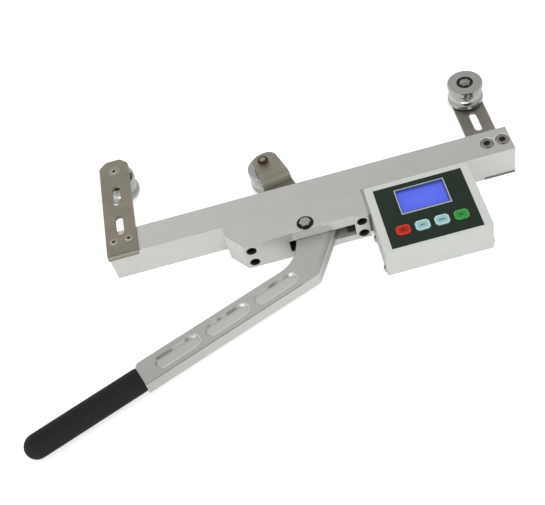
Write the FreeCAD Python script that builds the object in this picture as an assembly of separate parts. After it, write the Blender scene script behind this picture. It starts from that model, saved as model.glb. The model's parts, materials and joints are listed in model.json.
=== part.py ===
import FreeCAD, Part
import math
import os
from FreeCAD import Placement, Rotation, Vector

# Cable tension meter with three rope wheels on a straight beam.
# X runs along the beam, Y points away from the hand lever, Z points up.
# The origin is the centre of the beam's lower face. All sizes are in millimetres.

# Beam
beam_length = 422.0
beam_width = 31.7
beam_height = 35.8
beam_edge_bevel = 0.25
middle_height = 17.0

# Clearances, radial or face to face
screw_clearance = 0.15
running_clearance = 0.05
press_clearance = 0.03
key_clearance = 0.3
swing_clearance = 1.5
lever_side_clearance = 0.5

# Lever: angles in degrees at the pose that is modelled
pivot_x = -10.0
pivot_y = -38.5
lever_thickness = 15.0
lever_bevel = 0.5
handle_angle = 21.7
handle_width = 26.8
handle_offset = 39.1
handle_reach = 215.1
handle_end_cut = 4.0
neck_left_lean = 14.0
neck_left_offset = 10.3
neck_right_lean = 28.9
neck_right_offset = 27.4
neck_bend_radius = 35.0
heel_radius = 3.0
shoulder_angle = 50.0
shoulder_offset = 19.0
tail_width = 28.0
tail_reach = 50.0
open_swing = 12.0
close_swing = 19.5

# Milled pockets in the handle
pocket_count = 3
pocket_length = 48.0
pocket_width = 14.0
pocket_depth = 2.6
pocket_wall_slope = 1.6
pocket_pitch = 55.2
first_pocket_start = 39.1

# Grip and the tang inside it
grip_length = 123.0
grip_diameter = 24.6
grip_mouth_round = 1.5
tang_diameter = 14.0
tang_length = 95.0

# Joggled arm that carries the middle wheel
arm_lean = 13.6
arm_length = 97.5
arm_thickness = 3.0
arm_root_width = 33.5
arm_end_width = 27.0
arm_wheel_offset = 2.7
arm_beyond_wheel = 12.8
arm_root_gap = 10.5
arm_taper_start = 62.0
arm_corner_radius = 3.0
arm_waist_radius = 20.0
joggle_run = 2.0
joggle_to_wheel = 6.0
arm_bend_radius = 3.5
arm_screw_rows = (21.0, 40.0)
arm_screw_spread = 16.0
arm_screw_diameter = 5.0
arm_screw_floor = 3.0

# Pivot
pivot_pin_diameter = 10.0
pivot_thread_diameter = 8.0
pivot_hex = 10.0
pivot_head_height = 9.5
pivot_collar_diameter = 13.0
pivot_collar_height = 2.0
pivot_nut_hex = 13.0
pivot_nut_height = 5.0
pivot_tip_inset = 0.8
pivot_centre_mark = 0.8
pivot_recess_diameter = 17.2
pivot_recess_depth = 7.0
bush_outside = 14.0
bush_length = 6.5

# Lever housing on the front of the beam
housing_left = -92.0
housing_right = 51.5
housing_depth = 32.0
housing_corner_cut_x = 16.2
housing_corner_cut_y = 19.7
window_left = -30.2
window_right = 37.2
window_lip = 5.0
window_right_depth = 19.0
housing_screw_inset_left = 23.5
housing_screw_inset_right = 6.8
housing_screw_spread = 18.0
housing_screw_diameter = 6.0
housing_screw_head = 10.0
housing_screw_sink = 8.0
housing_screw_length = 36.0
buffer_diameter = 7.0
buffer_length = 8.5
buffer_stem_diameter = 4.0
buffer_stem_length = 3.5
buffer_behind_front = 6.5
buffer_above_middle = 1.0
buffer_edge_bevel = 1.5

# Rope wheels and their bearings
outer_wheel_y = 98.6
wheel_diameter = 37.5
wheel_width = 24.0
wheel_rim_round = 0.8
groove_opening = 14.0
groove_depth = 5.0
wheel_lip = 3.5
wheel_recess_diameter = 17.6
bearing_outside = 22.0
bearing_bore = 8.0
bearing_width = 7.0
bearing_inset = 0.5
inner_ring_outside = 11.2
outer_ring_wall = 2.1
shield_inset = 0.3
shield_thickness = 0.5
shield_gap = 0.35
axle_thread = 6.0
axle_shoulder_inset = 0.2
axle_hex = 10.0
outer_nut_height = 4.0
mid_nut_height = 5.0
axle_tip = 1.2
mid_head_diameter = 13.0
mid_head_height = 3.4

# Outer wheel brackets
bracket_width = 32.0
bracket_thickness = 3.6
bracket_lip_drop = 2.0
bracket_beyond_wheel = 16.0
bracket_corner_cut = 8.0
bracket_corner_radius = 5.0
bracket_slot_width = 8.5
right_far_slot = (49.1, 77.6)
right_near_slot = (22.6, 41.1)
left_far_slot = (48.4, 76.9)
left_near_slot = (7.4, 32.9)
bracket_screw_spread = 15.8
countersink_flare = 0.42
left_screw_diameter = 6.0
left_screw_length = 16.0
right_bolt_diameter = 8.0
right_bolt_head = 13.0
right_bolt_head_height = 8.0
right_bolt_recess_depth = 7.8
right_bolt_recess_bevel = 0.5
right_bolt_tip_inset = 0.5

# Display case on the front of the beam
case_to_housing = 3.1
case_width = 106.3
case_depth = 85.0
case_wall = 3.0
case_corner_radius = 2.0
panel_inset_side = 8.3
panel_inset_front = 2.9
panel_inset_back = 6.4
panel_thickness = 0.5
panel_recess = 0.3
panel_clearance = 0.1
screen_frame_left = 27.8
screen_frame_back = 13.2
screen_frame_width = 50.2
screen_frame_depth = 31.9
screen_frame_border = 1.8
screen_frame_height = 0.7
screen_below_panel = 1.2
screen_body_margin = 4.0
screen_body_height = 5.0
key_row_back = 63.4
first_key = 24.2
key_pitch = 19.1
key_width = 14.5
key_depth = 12.0
key_corner_cut = 2.6
key_above_panel = 0.9
key_flange = 1.2
key_flange_height = 1.2
key_bevel = 0.35
key_travel = 0.5
board_thickness = 1.6
board_edge_gap = 2.5
pillar_diameter = 5.0
pillar_inset = 6.0
board_screw_diameter = 3.0
switch_size = 6.0
plunger_diameter = 3.2
plunger_height = 1.5
cover_thickness = 2.5
cover_clearance = 0.2
lug_size = 8.0
lug_height = 5.5
board_screw_head = 5.4
board_screw_head_height = 1.3
side_screw_diameter = 4.0
side_screw_head = 7.2
side_screw_head_height = 2.0
side_screw_places = (6.6, 44.9)
side_screw_height = 4.2
battery_length = 64.0
battery_depth = 38.0
battery_height = 15.0
battery_forward = 4.0
battery_corner_radius = 2.0
case_screw_diameter = 4.0
case_screw_places = (19.0, 85.0)
case_screw_heights = (7.5, 16.5)
case_screw_length = 12.0
case_screw_head = 7.0
case_screw_head_height = 2.4

# Places worked out from the sizes above
front_face = -beam_width / 2
back_face = beam_width / 2
lever_base = middle_height - lever_thickness / 2
lever_top = middle_height + lever_thickness / 2
slot_base = lever_base - lever_side_clearance
slot_top = lever_top + lever_side_clearance
housing_front = front_face - housing_depth
wheel_base = middle_height - wheel_width / 2
wheel_top = middle_height + wheel_width / 2
up = Vector(0, 0, 1)
handle_direction = Vector(-math.cos(math.radians(handle_angle)), -math.sin(math.radians(handle_angle)), 0)
handle_up = Vector(handle_direction.y, -handle_direction.x, 0)
arm_direction = Vector(-math.sin(math.radians(arm_lean)), math.cos(math.radians(arm_lean)), 0)
arm_side = Vector(arm_direction.y, -arm_direction.x, 0)
pivot = Vector(pivot_x, pivot_y, 0)
outer_wheel_x = (beam_length - bracket_width) / 2
joggle_end = arm_length - wheel_diameter / 2 - joggle_to_wheel
joggle_start = joggle_end - joggle_run
case_left = housing_right + case_to_housing
case_right = case_left + case_width
case_front = front_face - case_depth
deck = beam_height - panel_recess
deck_under = beam_height - case_wall
board_top = deck_under - screen_body_height
board_base = board_top - board_thickness
mid_wheel_axis = pivot + arm_direction * arm_length - arm_side * arm_wheel_offset


# Basic forms

def box(x0, x1, y0, y1, z0, z1):
    return Part.makeBox(x1 - x0, y1 - y0, z1 - z0, Vector(x0, y0, z0))


def rod(diameter, z0, z1, x=0.0, y=0.0):
    return Part.makeCylinder(diameter / 2, z1 - z0, Vector(x, y, z0))


def tube(outside, inside, z0, z1):
    return rod(outside, z0, z1).cut(rod(inside, z0 - 1, z1 + 1))


def rounded_wire(corners):
    """Closed wire through (point, radius) corners, each corner rounded by an arc."""
    count = len(corners)
    starts = []
    ends = []
    middles = []
    for i, (point, radius) in enumerate(corners):
        to_last = (corners[i - 1][0] - point).normalize()
        to_next = (corners[(i + 1) % count][0] - point).normalize()
        half_angle = to_last.getAngle(to_next) / 2
        reach = radius / math.tan(half_angle)
        starts.append(point + to_last * reach)
        ends.append(point + to_next * reach)
        inward = (to_last + to_next).normalize()
        middles.append(point + inward * (radius / math.sin(half_angle) - radius))
    edges = []
    for i, (point, radius) in enumerate(corners):
        if radius > 0:
            edges.append(Part.Arc(starts[i], middles[i], ends[i]).toShape())
        following = (i + 1) % count
        if (starts[following] - ends[i]).Length > 0.001:
            edges.append(Part.LineSegment(ends[i], starts[following]).toShape())
    return Part.Wire(edges)


def plate(corners, z0, z1):
    """Flat piece whose outline has (x, y, corner radius) corners."""
    wire = rounded_wire([(Vector(x, y, z0), radius) for x, y, radius in corners])
    return Part.Face(wire).extrude(Vector(0, 0, z1 - z0))


def rounded_box(x0, x1, y0, y1, z0, z1, radius):
    corners = [(x0, y0, radius), (x1, y0, radius), (x1, y1, radius), (x0, y1, radius)]
    return plate(corners, z0, z1)


def cut_corner_box(x0, x1, y0, y1, z0, z1, cut):
    """Block with its four upright corners cut off."""
    outline = [(x0 + cut, y0), (x1 - cut, y0), (x1, y0 + cut), (x1, y1 - cut),
               (x1 - cut, y1), (x0 + cut, y1), (x0, y1 - cut), (x0, y0 + cut)]
    return plate([(x, y, 0) for x, y in outline], z0, z1)


def revolved(profile):
    """Solid turned about the Z axis from (radius, height) points."""
    points = [Vector(r, 0, z) for r, z in profile]
    face = Part.Face(Part.makePolygon(points + points[:1]))
    return face.revolve(Vector(0, 0, 0), up, 360)


def placed(shape, point, direction=up):
    """Copy of a shape whose Z axis is turned to the direction and moved to the point."""
    copy = shape.copy()
    copy.Placement = Placement(point, Rotation(up, direction)).multiply(shape.Placement)
    return copy


def obround_wire(length, width, z):
    r = width / 2
    half = length / 2 - r
    return Part.Wire([
        Part.LineSegment(Vector(-half, -r, z), Vector(half, -r, z)).toShape(),
        Part.Arc(Vector(half, -r, z), Vector(half + r, 0, z), Vector(half, r, z)).toShape(),
        Part.LineSegment(Vector(half, r, z), Vector(-half, r, z)).toShape(),
        Part.Arc(Vector(-half, r, z), Vector(-half - r, 0, z), Vector(-half, -r, z)).toShape()])


def crossing(angle_a, offset_a, angle_b, offset_b):
    """Point where two lines meet, each given by its normal's angle and its distance from the origin."""
    a = math.radians(angle_a)
    b = math.radians(angle_b)
    spread = math.sin(b - a)
    x = (offset_a * math.sin(b) - offset_b * math.sin(a)) / spread
    y = (offset_b * math.cos(a) - offset_a * math.cos(b)) / spread
    return Vector(x, y, 0)


# Fasteners: the head's seat is at the origin and the shank runs down the Z axis

def hex_prism(across_flats, z0, z1):
    radius = across_flats / math.sqrt(3)
    corners = [(radius * math.cos(math.radians(60 * i)), radius * math.sin(math.radians(60 * i)), 0)
               for i in range(6)]
    return plate(corners, z0, z1)


def hex_nut(across_flats, bore, height):
    """Nut from z = 0 up, with the corners of its outer face turned off."""
    corner = across_flats / math.sqrt(3)
    drop = 0.5 * (corner - across_flats / 2) + 0.3
    turned = revolved([(0, -1), (corner + 1, -1), (corner + 1, height - drop - 0.5),
                       (across_flats / 2 - 0.2, height), (0, height)])
    return hex_prism(across_flats, 0, height).common(turned).cut(rod(bore, -1, height + 1))


def socket_screw(diameter, length, head_diameter, head_height):
    """Screw with a cylinder head and a hexagon socket."""
    bevel = 0.06 * head_diameter
    r = head_diameter / 2
    body = revolved([(0, -length), (diameter / 2 - 0.4, -length), (diameter / 2, -length + 0.4),
                     (diameter / 2, 0), (r, 0), (r, head_height - bevel), (r - bevel, head_height),
                     (0, head_height)])
    return body.cut(hex_prism(head_diameter * 0.5, head_height * 0.4, head_height + 1))


def countersunk_depth(diameter):
    return countersink_flare * diameter


def countersunk_screw(diameter, length):
    """Screw whose flat head lies flush at z = 0."""
    depth = countersunk_depth(diameter)
    body = revolved([(0, -length), (diameter / 2 - 0.3, -length), (diameter / 2, -length + 0.3),
                     (diameter / 2, -depth), (diameter / 2 + depth, 0), (0, 0)])
    return body.cut(hex_prism(diameter * 0.6, -depth * 0.8, 1))


def countersunk_hole(diameter, depth, clearance=screw_clearance):
    """Hole and sink that take the countersunk screw with the clearance all round."""
    seat = countersunk_depth(diameter)
    wide = clearance * math.sqrt(2)
    flare = clearance * (math.sqrt(2) - 1)
    r = diameter / 2
    return revolved([(0, -depth), (r + clearance, -depth), (r + clearance, -seat - flare),
                     (r + seat + wide, 0), (r + seat + wide, 1), (0, 1)])


def pan_screw(diameter, length, head_diameter, head_height):
    """Small screw with a domed head and a straight slot for the driver."""
    r = head_diameter / 2
    body = revolved([(0, -length), (diameter / 2, -length), (diameter / 2, 0), (r, 0),
                     (r, head_height * 0.45), (r * 0.75, head_height * 0.9), (r * 0.4, head_height),
                     (0, head_height)])
    return body.cut(box(-r, r, -0.35, 0.35, head_height * 0.45, head_height + 1))


def threaded_end(screw, shoulder, length):
    """Screw whose shank gives way, below the shoulder, to a thinner thread with a bevelled tip."""
    r = axle_thread / 2
    bevel = 0.5
    inside_shank = 1 - shoulder
    thread = revolved([(0, -length), (r - bevel, -length), (r, -length + bevel), (r, inside_shank),
                       (0, inside_shank)])
    return screw.fuse(thread).removeSplitter()


def hole(diameter, depth):
    return rod(diameter + 2 * screw_clearance, -depth, 1)


# Swing of the arm, which shapes the slot through the beam and the housing

def swept_edge(y, side):
    """X where the arm's edge passes the line at y, at the end of its swing on that side."""
    lean = math.radians(arm_lean + open_swing if side < 0 else arm_lean - close_swing)
    centre = pivot_x - (y - pivot_y) * math.tan(lean)
    return centre + side * (arm_root_width / 2 + swing_clearance) / math.cos(lean)


# Beam

def beam_shape():
    end = beam_length / 2
    body = box(-end, end, front_face, back_face, 0, beam_height)
    long_edges = [e for e in body.Edges if abs(e.BoundBox.XLength - beam_length) < 0.01]
    body = body.makeChamfer(beam_edge_bevel, long_edges)
    slot = [(swept_edge(front_face, -1), front_face - 1, 0), (swept_edge(front_face, 1), front_face - 1, 0),
            (swept_edge(back_face, 1), back_face + 1, 0), (swept_edge(back_face, -1), back_face + 1, 0)]
    body = body.cut(plate(slot, slot_base, slot_top))
    for point in housing_screw_points():
        thread = hole(housing_screw_diameter, housing_screw_length + 1)
        body = body.cut(placed(thread, point, Vector(0, -1, 0)))
    for point in case_screw_points():
        thread = hole(case_screw_diameter, case_screw_length + 1)
        body = body.cut(placed(thread, point, Vector(0, -1, 0)))
    for x in bracket_screw_x(-1):
        thread = hole(left_screw_diameter, left_screw_length)
        body = body.cut(placed(thread, Vector(x, 0, beam_height)))
    seat_start = outer_wheel_x - bracket_width / 2
    body = body.cut(box(seat_start, end + 1, front_face - 1, back_face + 1, -1, bracket_thickness))
    for x in bracket_screw_x(1):
        body = body.cut(rod(right_bolt_diameter + 2 * screw_clearance, 0, beam_height + 1, x, 0))
        r = right_bolt_head / 2 + 2 * screw_clearance
        bevel = right_bolt_recess_bevel
        recess = revolved([(0, -right_bolt_recess_depth), (r, -right_bolt_recess_depth), (r, -bevel),
                           (r + 2 * bevel, bevel), (0, bevel)])
        body = body.cut(placed(recess, Vector(x, 0, beam_height)))
    return body


# Lever housing

def housing_screw_points():
    """Seats of the four screw heads, inside the housing's front face."""
    places = []
    for x in (housing_left + housing_screw_inset_left, housing_right - housing_screw_inset_right):
        for side in (-1, 1):
            z = middle_height + side * housing_screw_spread / 2
            places.append(Vector(x, housing_front + housing_screw_sink, z))
    return places


def window_outline():
    """Slot in plan: an upright mouth at the front, spreading to the arm's swing at the beam."""
    front = housing_front - 1
    return [(window_left, front, 0), (window_right, front, 0),
            (window_right, housing_front + window_right_depth, 0),
            (swept_edge(front_face, 1), front_face + 1, 0), (swept_edge(front_face, -1), front_face + 1, 0),
            (window_left, housing_front + window_lip, 0)]


def buffer_seat():
    return Vector(window_right, housing_front + buffer_behind_front, middle_height + buffer_above_middle)


def lever_housing():
    outline = [(housing_left, front_face, 0), (housing_left, housing_front + housing_corner_cut_y, 1),
               (housing_left + housing_corner_cut_x, housing_front, 1), (housing_right, housing_front, 0),
               (housing_right, front_face, 0)]
    body = plate(outline, 0, beam_height)
    body = body.cut(plate(window_outline(), slot_base, slot_top))
    for point in housing_screw_points():
        shank = hole(housing_screw_diameter, housing_screw_length)
        recess = rod(housing_screw_head + 4 * screw_clearance, 0, housing_screw_sink + 1)
        body = body.cut(placed(shank.fuse(recess), point, Vector(0, -1, 0)))
    recess = pivot_recess_diameter
    body = body.cut(rod(pivot_pin_diameter + 2 * running_clearance, -1, beam_height + 1, pivot_x, pivot_y))
    body = body.cut(rod(recess, beam_height - pivot_recess_depth, beam_height + 1, pivot_x, pivot_y))
    body = body.cut(rod(recess, -1, pivot_recess_depth, pivot_x, pivot_y))
    stem = hole(buffer_stem_diameter, buffer_stem_length + 0.5)
    return body.cut(placed(stem, buffer_seat(), Vector(-1, 0, 0)))


def housing_screws():
    diameter = housing_screw_diameter
    screw = socket_screw(diameter, housing_screw_length, housing_screw_head, diameter)
    return [placed(screw, point, Vector(0, -1, 0)) for point in housing_screw_points()]


def stop_buffer():
    r = buffer_diameter / 2
    stem = buffer_stem_diameter / 2
    bevel = buffer_edge_bevel
    body = revolved([(0, -buffer_stem_length), (stem, -buffer_stem_length), (stem, 0), (r, 0),
                     (r, buffer_length - bevel), (r - bevel, buffer_length), (0, buffer_length)])
    return placed(body, buffer_seat(), Vector(-1, 0, 0))


# Pivot: a measuring pin that is clamped in the housing and carries the lever on two bushes

def pivot_pin():
    shaft = pivot_pin_diameter / 2
    thread = pivot_thread_diameter / 2
    seat = beam_height - pivot_recess_depth
    tip = pivot_recess_depth - pivot_nut_height - pivot_tip_inset
    shank = revolved([(0, tip), (thread - 0.5, tip), (thread, tip + 0.5), (thread, pivot_recess_depth),
                      (shaft, pivot_recess_depth), (shaft, seat), (0, seat)])
    head = hex_nut(pivot_hex, pivot_centre_mark, pivot_head_height)
    head = head.fuse(rod(2 * pivot_centre_mark, 0, pivot_head_height - pivot_centre_mark))
    head = head.fuse(rod(pivot_collar_diameter, 0, pivot_collar_height))
    head.translate(Vector(0, 0, seat))
    return placed(shank.fuse(head).removeSplitter(), pivot)


def pivot_nut():
    nut = hex_nut(pivot_nut_hex, pivot_thread_diameter + 2 * screw_clearance, pivot_nut_height)
    return placed(nut, pivot + up * pivot_recess_depth, Vector(0, 0, -1))


def pivot_bushes():
    bush = tube(bush_outside, pivot_pin_diameter + 2 * running_clearance, 0, bush_length)
    return [placed(bush, pivot + Vector(0, 0, lever_base)),
            placed(bush, pivot + Vector(0, 0, lever_top - bush_length))]


# Lever with its neck, pocketed handle, tang and the tail that carries the arm

def lever_outline():
    """Corners about the pivot as (point, radius)."""
    upper = -(handle_offset - handle_width / 2)
    lower = -(handle_offset + handle_width / 2)
    handle_normal = 90 + handle_angle
    end_normal = 180 + handle_angle
    left_normal = 180 - neck_left_lean
    right_normal = -neck_right_lean
    tail_normal = arm_lean
    end_upper = crossing(handle_normal, upper, end_normal, handle_reach)
    left_of_pivot = crossing(left_normal, neck_left_offset, tail_normal, -tail_width / 2)
    heel = crossing(handle_normal, lower, right_normal, neck_right_offset)
    shoulder = crossing(right_normal, neck_right_offset, shoulder_angle, shoulder_offset)
    armpit = crossing(shoulder_angle, shoulder_offset, tail_normal, tail_width / 2)
    return [(crossing(handle_normal, upper, left_normal, neck_left_offset), neck_bend_radius),
            (end_upper - handle_direction * handle_end_cut, 0),
            (end_upper - handle_up * handle_end_cut, 0),
            (crossing(handle_normal, lower, end_normal, handle_reach), 1),
            (heel, heel_radius),
            (shoulder, 2),
            (armpit, 2),
            (arm_direction * tail_reach + arm_side * (tail_width / 2), 2),
            (arm_direction * tail_reach - arm_side * (tail_width / 2), 2),
            (left_of_pivot, 1)]


def handle_point(along, across=0.0):
    """Point on the handle at a distance along it from the pivot and across its centre line."""
    return pivot + handle_direction * along + handle_up * (across - handle_offset)


def pocket_tool():
    """Cutter for one pocket: round ends, sloping walls, centred on the pocket's mouth."""
    lift = 1.0
    slope = pocket_wall_slope
    floor = obround_wire(pocket_length - 2 * slope, pocket_width - 2 * slope, -pocket_depth)
    mouth = obround_wire(pocket_length, pocket_width, 0)
    tool = Part.makeLoft([floor, mouth], True, True)
    return tool.fuse(Part.Face(mouth).extrude(Vector(0, 0, lift)))


def lever():
    base = pivot + Vector(0, 0, lever_base)
    wire = rounded_wire([(point + base, radius) for point, radius in lever_outline()])
    body = Part.Face(wire).extrude(Vector(0, 0, lever_thickness))
    body = body.makeChamfer(lever_bevel, [edge for edge in body.Edges if edge.BoundBox.ZLength < 0.001])
    tang = placed(rod(tang_diameter, -1, tang_length), handle_point(handle_reach) + up * middle_height,
                  handle_direction)
    body = body.fuse(tang)
    turn = Rotation(Vector(1, 0, 0), handle_direction)
    for i in range(pocket_count):
        centre = handle_point(first_pocket_start + i * pocket_pitch + pocket_length / 2)
        tool = pocket_tool()
        tool.Placement = Placement(centre + up * lever_top, turn)
        body = body.cut(tool)
    body = body.cut(rod(bush_outside + 2 * press_clearance, 0, beam_height, pivot_x, pivot_y))
    rebate_floor = lever_top - arm_thickness
    rebate = box(-arm_root_width, arm_root_width, arm_root_gap, arm_length, rebate_floor, beam_height)
    rebate.Placement = Placement(pivot, Rotation(up, arm_lean))
    body = body.cut(rebate)
    for point in arm_screw_points():
        thread = hole(arm_screw_diameter, lever_thickness - arm_screw_floor)
        body = body.cut(placed(thread, point))
    return body


def grip():
    """Moulded sleeve with a ball end and a blind bore for the tang."""
    r = grip_diameter / 2
    bore = tang_diameter / 2 + screw_clearance
    mouth = grip_mouth_round
    ball = grip_length - r
    edges = [Part.LineSegment(Vector(bore, 0, 0), Vector(r - mouth, 0, 0)),
             Part.Arc(Vector(r - mouth, 0, 0),
                      Vector(r - mouth * (1 - math.sqrt(0.5)), 0, mouth * (1 - math.sqrt(0.5))),
                      Vector(r, 0, mouth)),
             Part.LineSegment(Vector(r, 0, mouth), Vector(r, 0, ball)),
             Part.Arc(Vector(r, 0, ball), Vector(r * math.sqrt(0.5), 0, ball + r * math.sqrt(0.5)),
                      Vector(0, 0, grip_length)),
             Part.LineSegment(Vector(0, 0, grip_length), Vector(0, 0, tang_length + 0.5)),
             Part.LineSegment(Vector(0, 0, tang_length + 0.5), Vector(bore, 0, tang_length + 0.5)),
             Part.LineSegment(Vector(bore, 0, tang_length + 0.5), Vector(bore, 0, 0))]
    face = Part.Face(Part.Wire([edge.toShape() for edge in edges]))
    body = face.revolve(Vector(0, 0, 0), up, 360)
    return placed(body, handle_point(handle_reach) + up * middle_height, handle_direction)


# Arm: the side profile runs along the arm, and the plan outline trims it

def arm_screw_points():
    points = []
    for along in arm_screw_rows:
        for side in (-1, 1):
            across = side * arm_screw_spread / 2
            points.append(pivot + arm_direction * along + arm_side * across + up * lever_top)
    return points


def arm():
    reach = arm_length + arm_beyond_wheel
    inner = arm_bend_radius
    outer = arm_bend_radius + arm_thickness
    slope = math.atan2(beam_height - lever_top, joggle_end - joggle_start)
    shift = arm_thickness * math.tan(slope / 2)
    low = lever_top
    high = beam_height
    side_view = [((arm_root_gap, low - arm_thickness), 0),
                 ((joggle_start + shift, low - arm_thickness), outer),
                 ((joggle_end + shift, high - arm_thickness), inner),
                 ((reach + 1, high - arm_thickness), 0),
                 ((reach + 1, high), 0), ((joggle_end, high), outer), ((joggle_start, low), inner),
                 ((arm_root_gap, low), 0)]
    half = arm_root_width / 2
    wire = rounded_wire([(Vector(-half, y, z), radius) for (y, z), radius in side_view])
    strip = Part.Face(wire).extrude(Vector(arm_root_width, 0, 0))
    end = arm_end_width / 2
    corner = arm_corner_radius
    waist = arm_waist_radius
    nose = end * 0.8
    outline = [(-half, arm_root_gap, corner), (half, arm_root_gap, corner), (half, arm_taper_start, waist),
               (end, arm_length, 0), (end, reach, nose), (-end, reach, nose), (-end, arm_length, 0),
               (-half, arm_taper_start, waist)]
    body = strip.common(plate(outline, 0, beam_height + 1))
    bore = axle_thread + 2 * screw_clearance
    body = body.cut(rod(bore, 0, beam_height + 1, -arm_wheel_offset, arm_length))
    body.Placement = Placement(pivot, Rotation(up, arm_lean))
    for point in arm_screw_points():
        body = body.cut(placed(countersunk_hole(arm_screw_diameter, arm_thickness + 1), point))
    return body


def arm_screws():
    screw = countersunk_screw(arm_screw_diameter, lever_thickness - arm_screw_floor - 1)
    return [placed(screw, point) for point in arm_screw_points()]


# Wheels: the bracket side is at z = 0 and the lipped side at z = wheel_width

def wheel_rim():
    """Turned rim with two flanges, a round rope groove and a stepped bore for the bearings."""
    r = wheel_diameter / 2
    bore = bearing_outside / 2 + press_clearance
    recess = wheel_recess_diameter / 2
    edge = wheel_rim_round
    lip = wheel_width - wheel_lip
    low = (wheel_width - groove_opening) / 2
    high = wheel_width - low
    middle = wheel_width / 2
    profile = [(r, high), (r, wheel_width - edge), (r - edge, wheel_width), (recess, wheel_width),
               (recess, lip), (bore, lip), (bore, 0), (r - edge, 0), (r, edge), (r, low)]
    points = [Vector(radius, 0, z) for radius, z in profile]
    edges = [Part.LineSegment(a, b).toShape() for a, b in zip(points, points[1:])]
    groove = Part.Arc(points[-1], Vector(r - groove_depth, 0, middle), points[0])
    edges.append(groove.toShape())
    return Part.Face(Part.Wire(edges)).revolve(Vector(0, 0, 0), up, 360)


def bearing_places():
    return (bearing_inset, wheel_width - wheel_lip - bearing_width)


def outer_ring():
    """Outer bearing ring with a thin shield near each face."""
    r = bearing_outside / 2
    race = r - outer_ring_wall
    shield = inner_ring_outside / 2 + shield_gap
    a = shield_inset
    b = shield_inset + shield_thickness
    w = bearing_width
    wall = race - 0.4
    return revolved([(r, 0), (race, 0), (race, a), (shield, a), (shield, b), (wall, b), (wall, w - b),
                     (shield, w - b), (shield, w - a), (race, w - a), (race, w), (r, w)])


def inner_ring():
    return tube(inner_ring_outside, bearing_bore + 2 * running_clearance, 0, bearing_width)


def lifted(shape, z):
    copy = shape.copy()
    copy.translate(Vector(0, 0, z))
    return copy


def spacers(standoff):
    """Tube between the inner rings and the one that holds the wheel off its plate."""
    low, high = bearing_places()
    bore = bearing_bore + 2 * running_clearance
    outside = inner_ring_outside - 0.4
    return [tube(outside, bore, low + bearing_width, high), tube(outside, bore, -standoff, low)]


def outer_axle(standoff):
    """Countersunk bolt through the bracket, with its tip just past the nut in the wheel's recess."""
    seat = -standoff - bracket_thickness
    shoulder = wheel_width - wheel_lip - axle_shoulder_inset - seat
    length = shoulder + axle_shoulder_inset + outer_nut_height + axle_tip
    screw = threaded_end(countersunk_screw(bearing_bore, shoulder), shoulder, length)
    return placed(screw, Vector(0, 0, seat), Vector(0, 0, -1))


def outer_axle_nut():
    nut = hex_nut(axle_hex, axle_thread + 2 * screw_clearance, outer_nut_height)
    return lifted(nut, wheel_width - wheel_lip)


def mid_axle(standoff):
    """Low-headed bolt from the wheel's recess up through the arm."""
    seat = wheel_width - wheel_lip
    shoulder = seat + standoff - axle_shoulder_inset
    length = shoulder + axle_shoulder_inset + arm_thickness + mid_nut_height + axle_tip
    screw = socket_screw(bearing_bore, shoulder, mid_head_diameter, mid_head_height)
    return lifted(threaded_end(screw, shoulder, length), seat)


def mid_axle_nut(standoff):
    nut = hex_nut(axle_hex, axle_thread + 2 * screw_clearance, mid_nut_height)
    return placed(nut, Vector(0, 0, -standoff - arm_thickness), Vector(0, 0, -1))


def wheel_set(name, axis, plate_below, standoff, axle, nut):
    """Named pieces of one wheel; plate_below says on which side its bracket lies."""
    point = Vector(axis.x, axis.y, wheel_base if plate_below else wheel_top)
    direction = up if plate_below else Vector(0, 0, -1)
    rings = [lifted(outer_ring(), z) for z in bearing_places()]
    cores = [lifted(inner_ring(), z) for z in bearing_places()]
    pieces = {"wheel": [wheel_rim()], "outer_rings": rings, "inner_rings": cores,
              "spacers": spacers(standoff), "axle_bolt": [axle], "axle_nut": [nut]}
    return {name + "_" + key: [placed(shape, point, direction) for shape in shapes]
            for key, shapes in pieces.items()}


# Brackets

def bracket_screw_x(side):
    centre = side * outer_wheel_x
    return (centre - bracket_screw_spread / 2, centre + bracket_screw_spread / 2)


def bracket(side, front, z0, slots):
    """Slotted plate with two cut corners beyond the wheel."""
    x0 = side * outer_wheel_x - bracket_width / 2
    x1 = x0 + bracket_width
    end = outer_wheel_y + bracket_beyond_wheel
    cut = bracket_corner_cut
    round_corner = bracket_corner_radius
    outline = [(x0, front, 0), (x1, front, 0), (x1, end - cut, round_corner), (x1 - cut, end, round_corner),
               (x0 + cut, end, round_corner), (x0, end - cut, round_corner)]
    body = plate(outline, z0, z0 + bracket_thickness)
    for start, stop in slots:
        wire = obround_wire(stop - start, bracket_slot_width, 0)
        tool = Part.Face(wire).extrude(Vector(0, 0, bracket_thickness + 2))
        centre = Vector(side * outer_wheel_x, (start + stop) / 2, z0 - 1)
        tool.Placement = Placement(centre, Rotation(up, 90))
        body = body.cut(tool)
    return body


def bracket_lip():
    """Front edge of the left bracket, bent down round the beam's upper front edge."""
    outer = front_face - bracket_thickness
    top = beam_height + bracket_thickness
    low = beam_height - bracket_lip_drop
    bend = bracket_thickness * (1 - math.sqrt(0.5))
    x0 = -outer_wheel_x - bracket_width / 2
    edges = [Part.Arc(Vector(x0, front_face, top), Vector(x0, outer + bend, top - bend),
                      Vector(x0, outer, beam_height)),
             Part.LineSegment(Vector(x0, outer, beam_height), Vector(x0, outer, low)),
             Part.LineSegment(Vector(x0, outer, low), Vector(x0, front_face, low)),
             Part.LineSegment(Vector(x0, front_face, low), Vector(x0, front_face, top))]
    face = Part.Face(Part.Wire([edge.toShape() for edge in edges]))
    return face.extrude(Vector(bracket_width, 0, 0))


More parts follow.
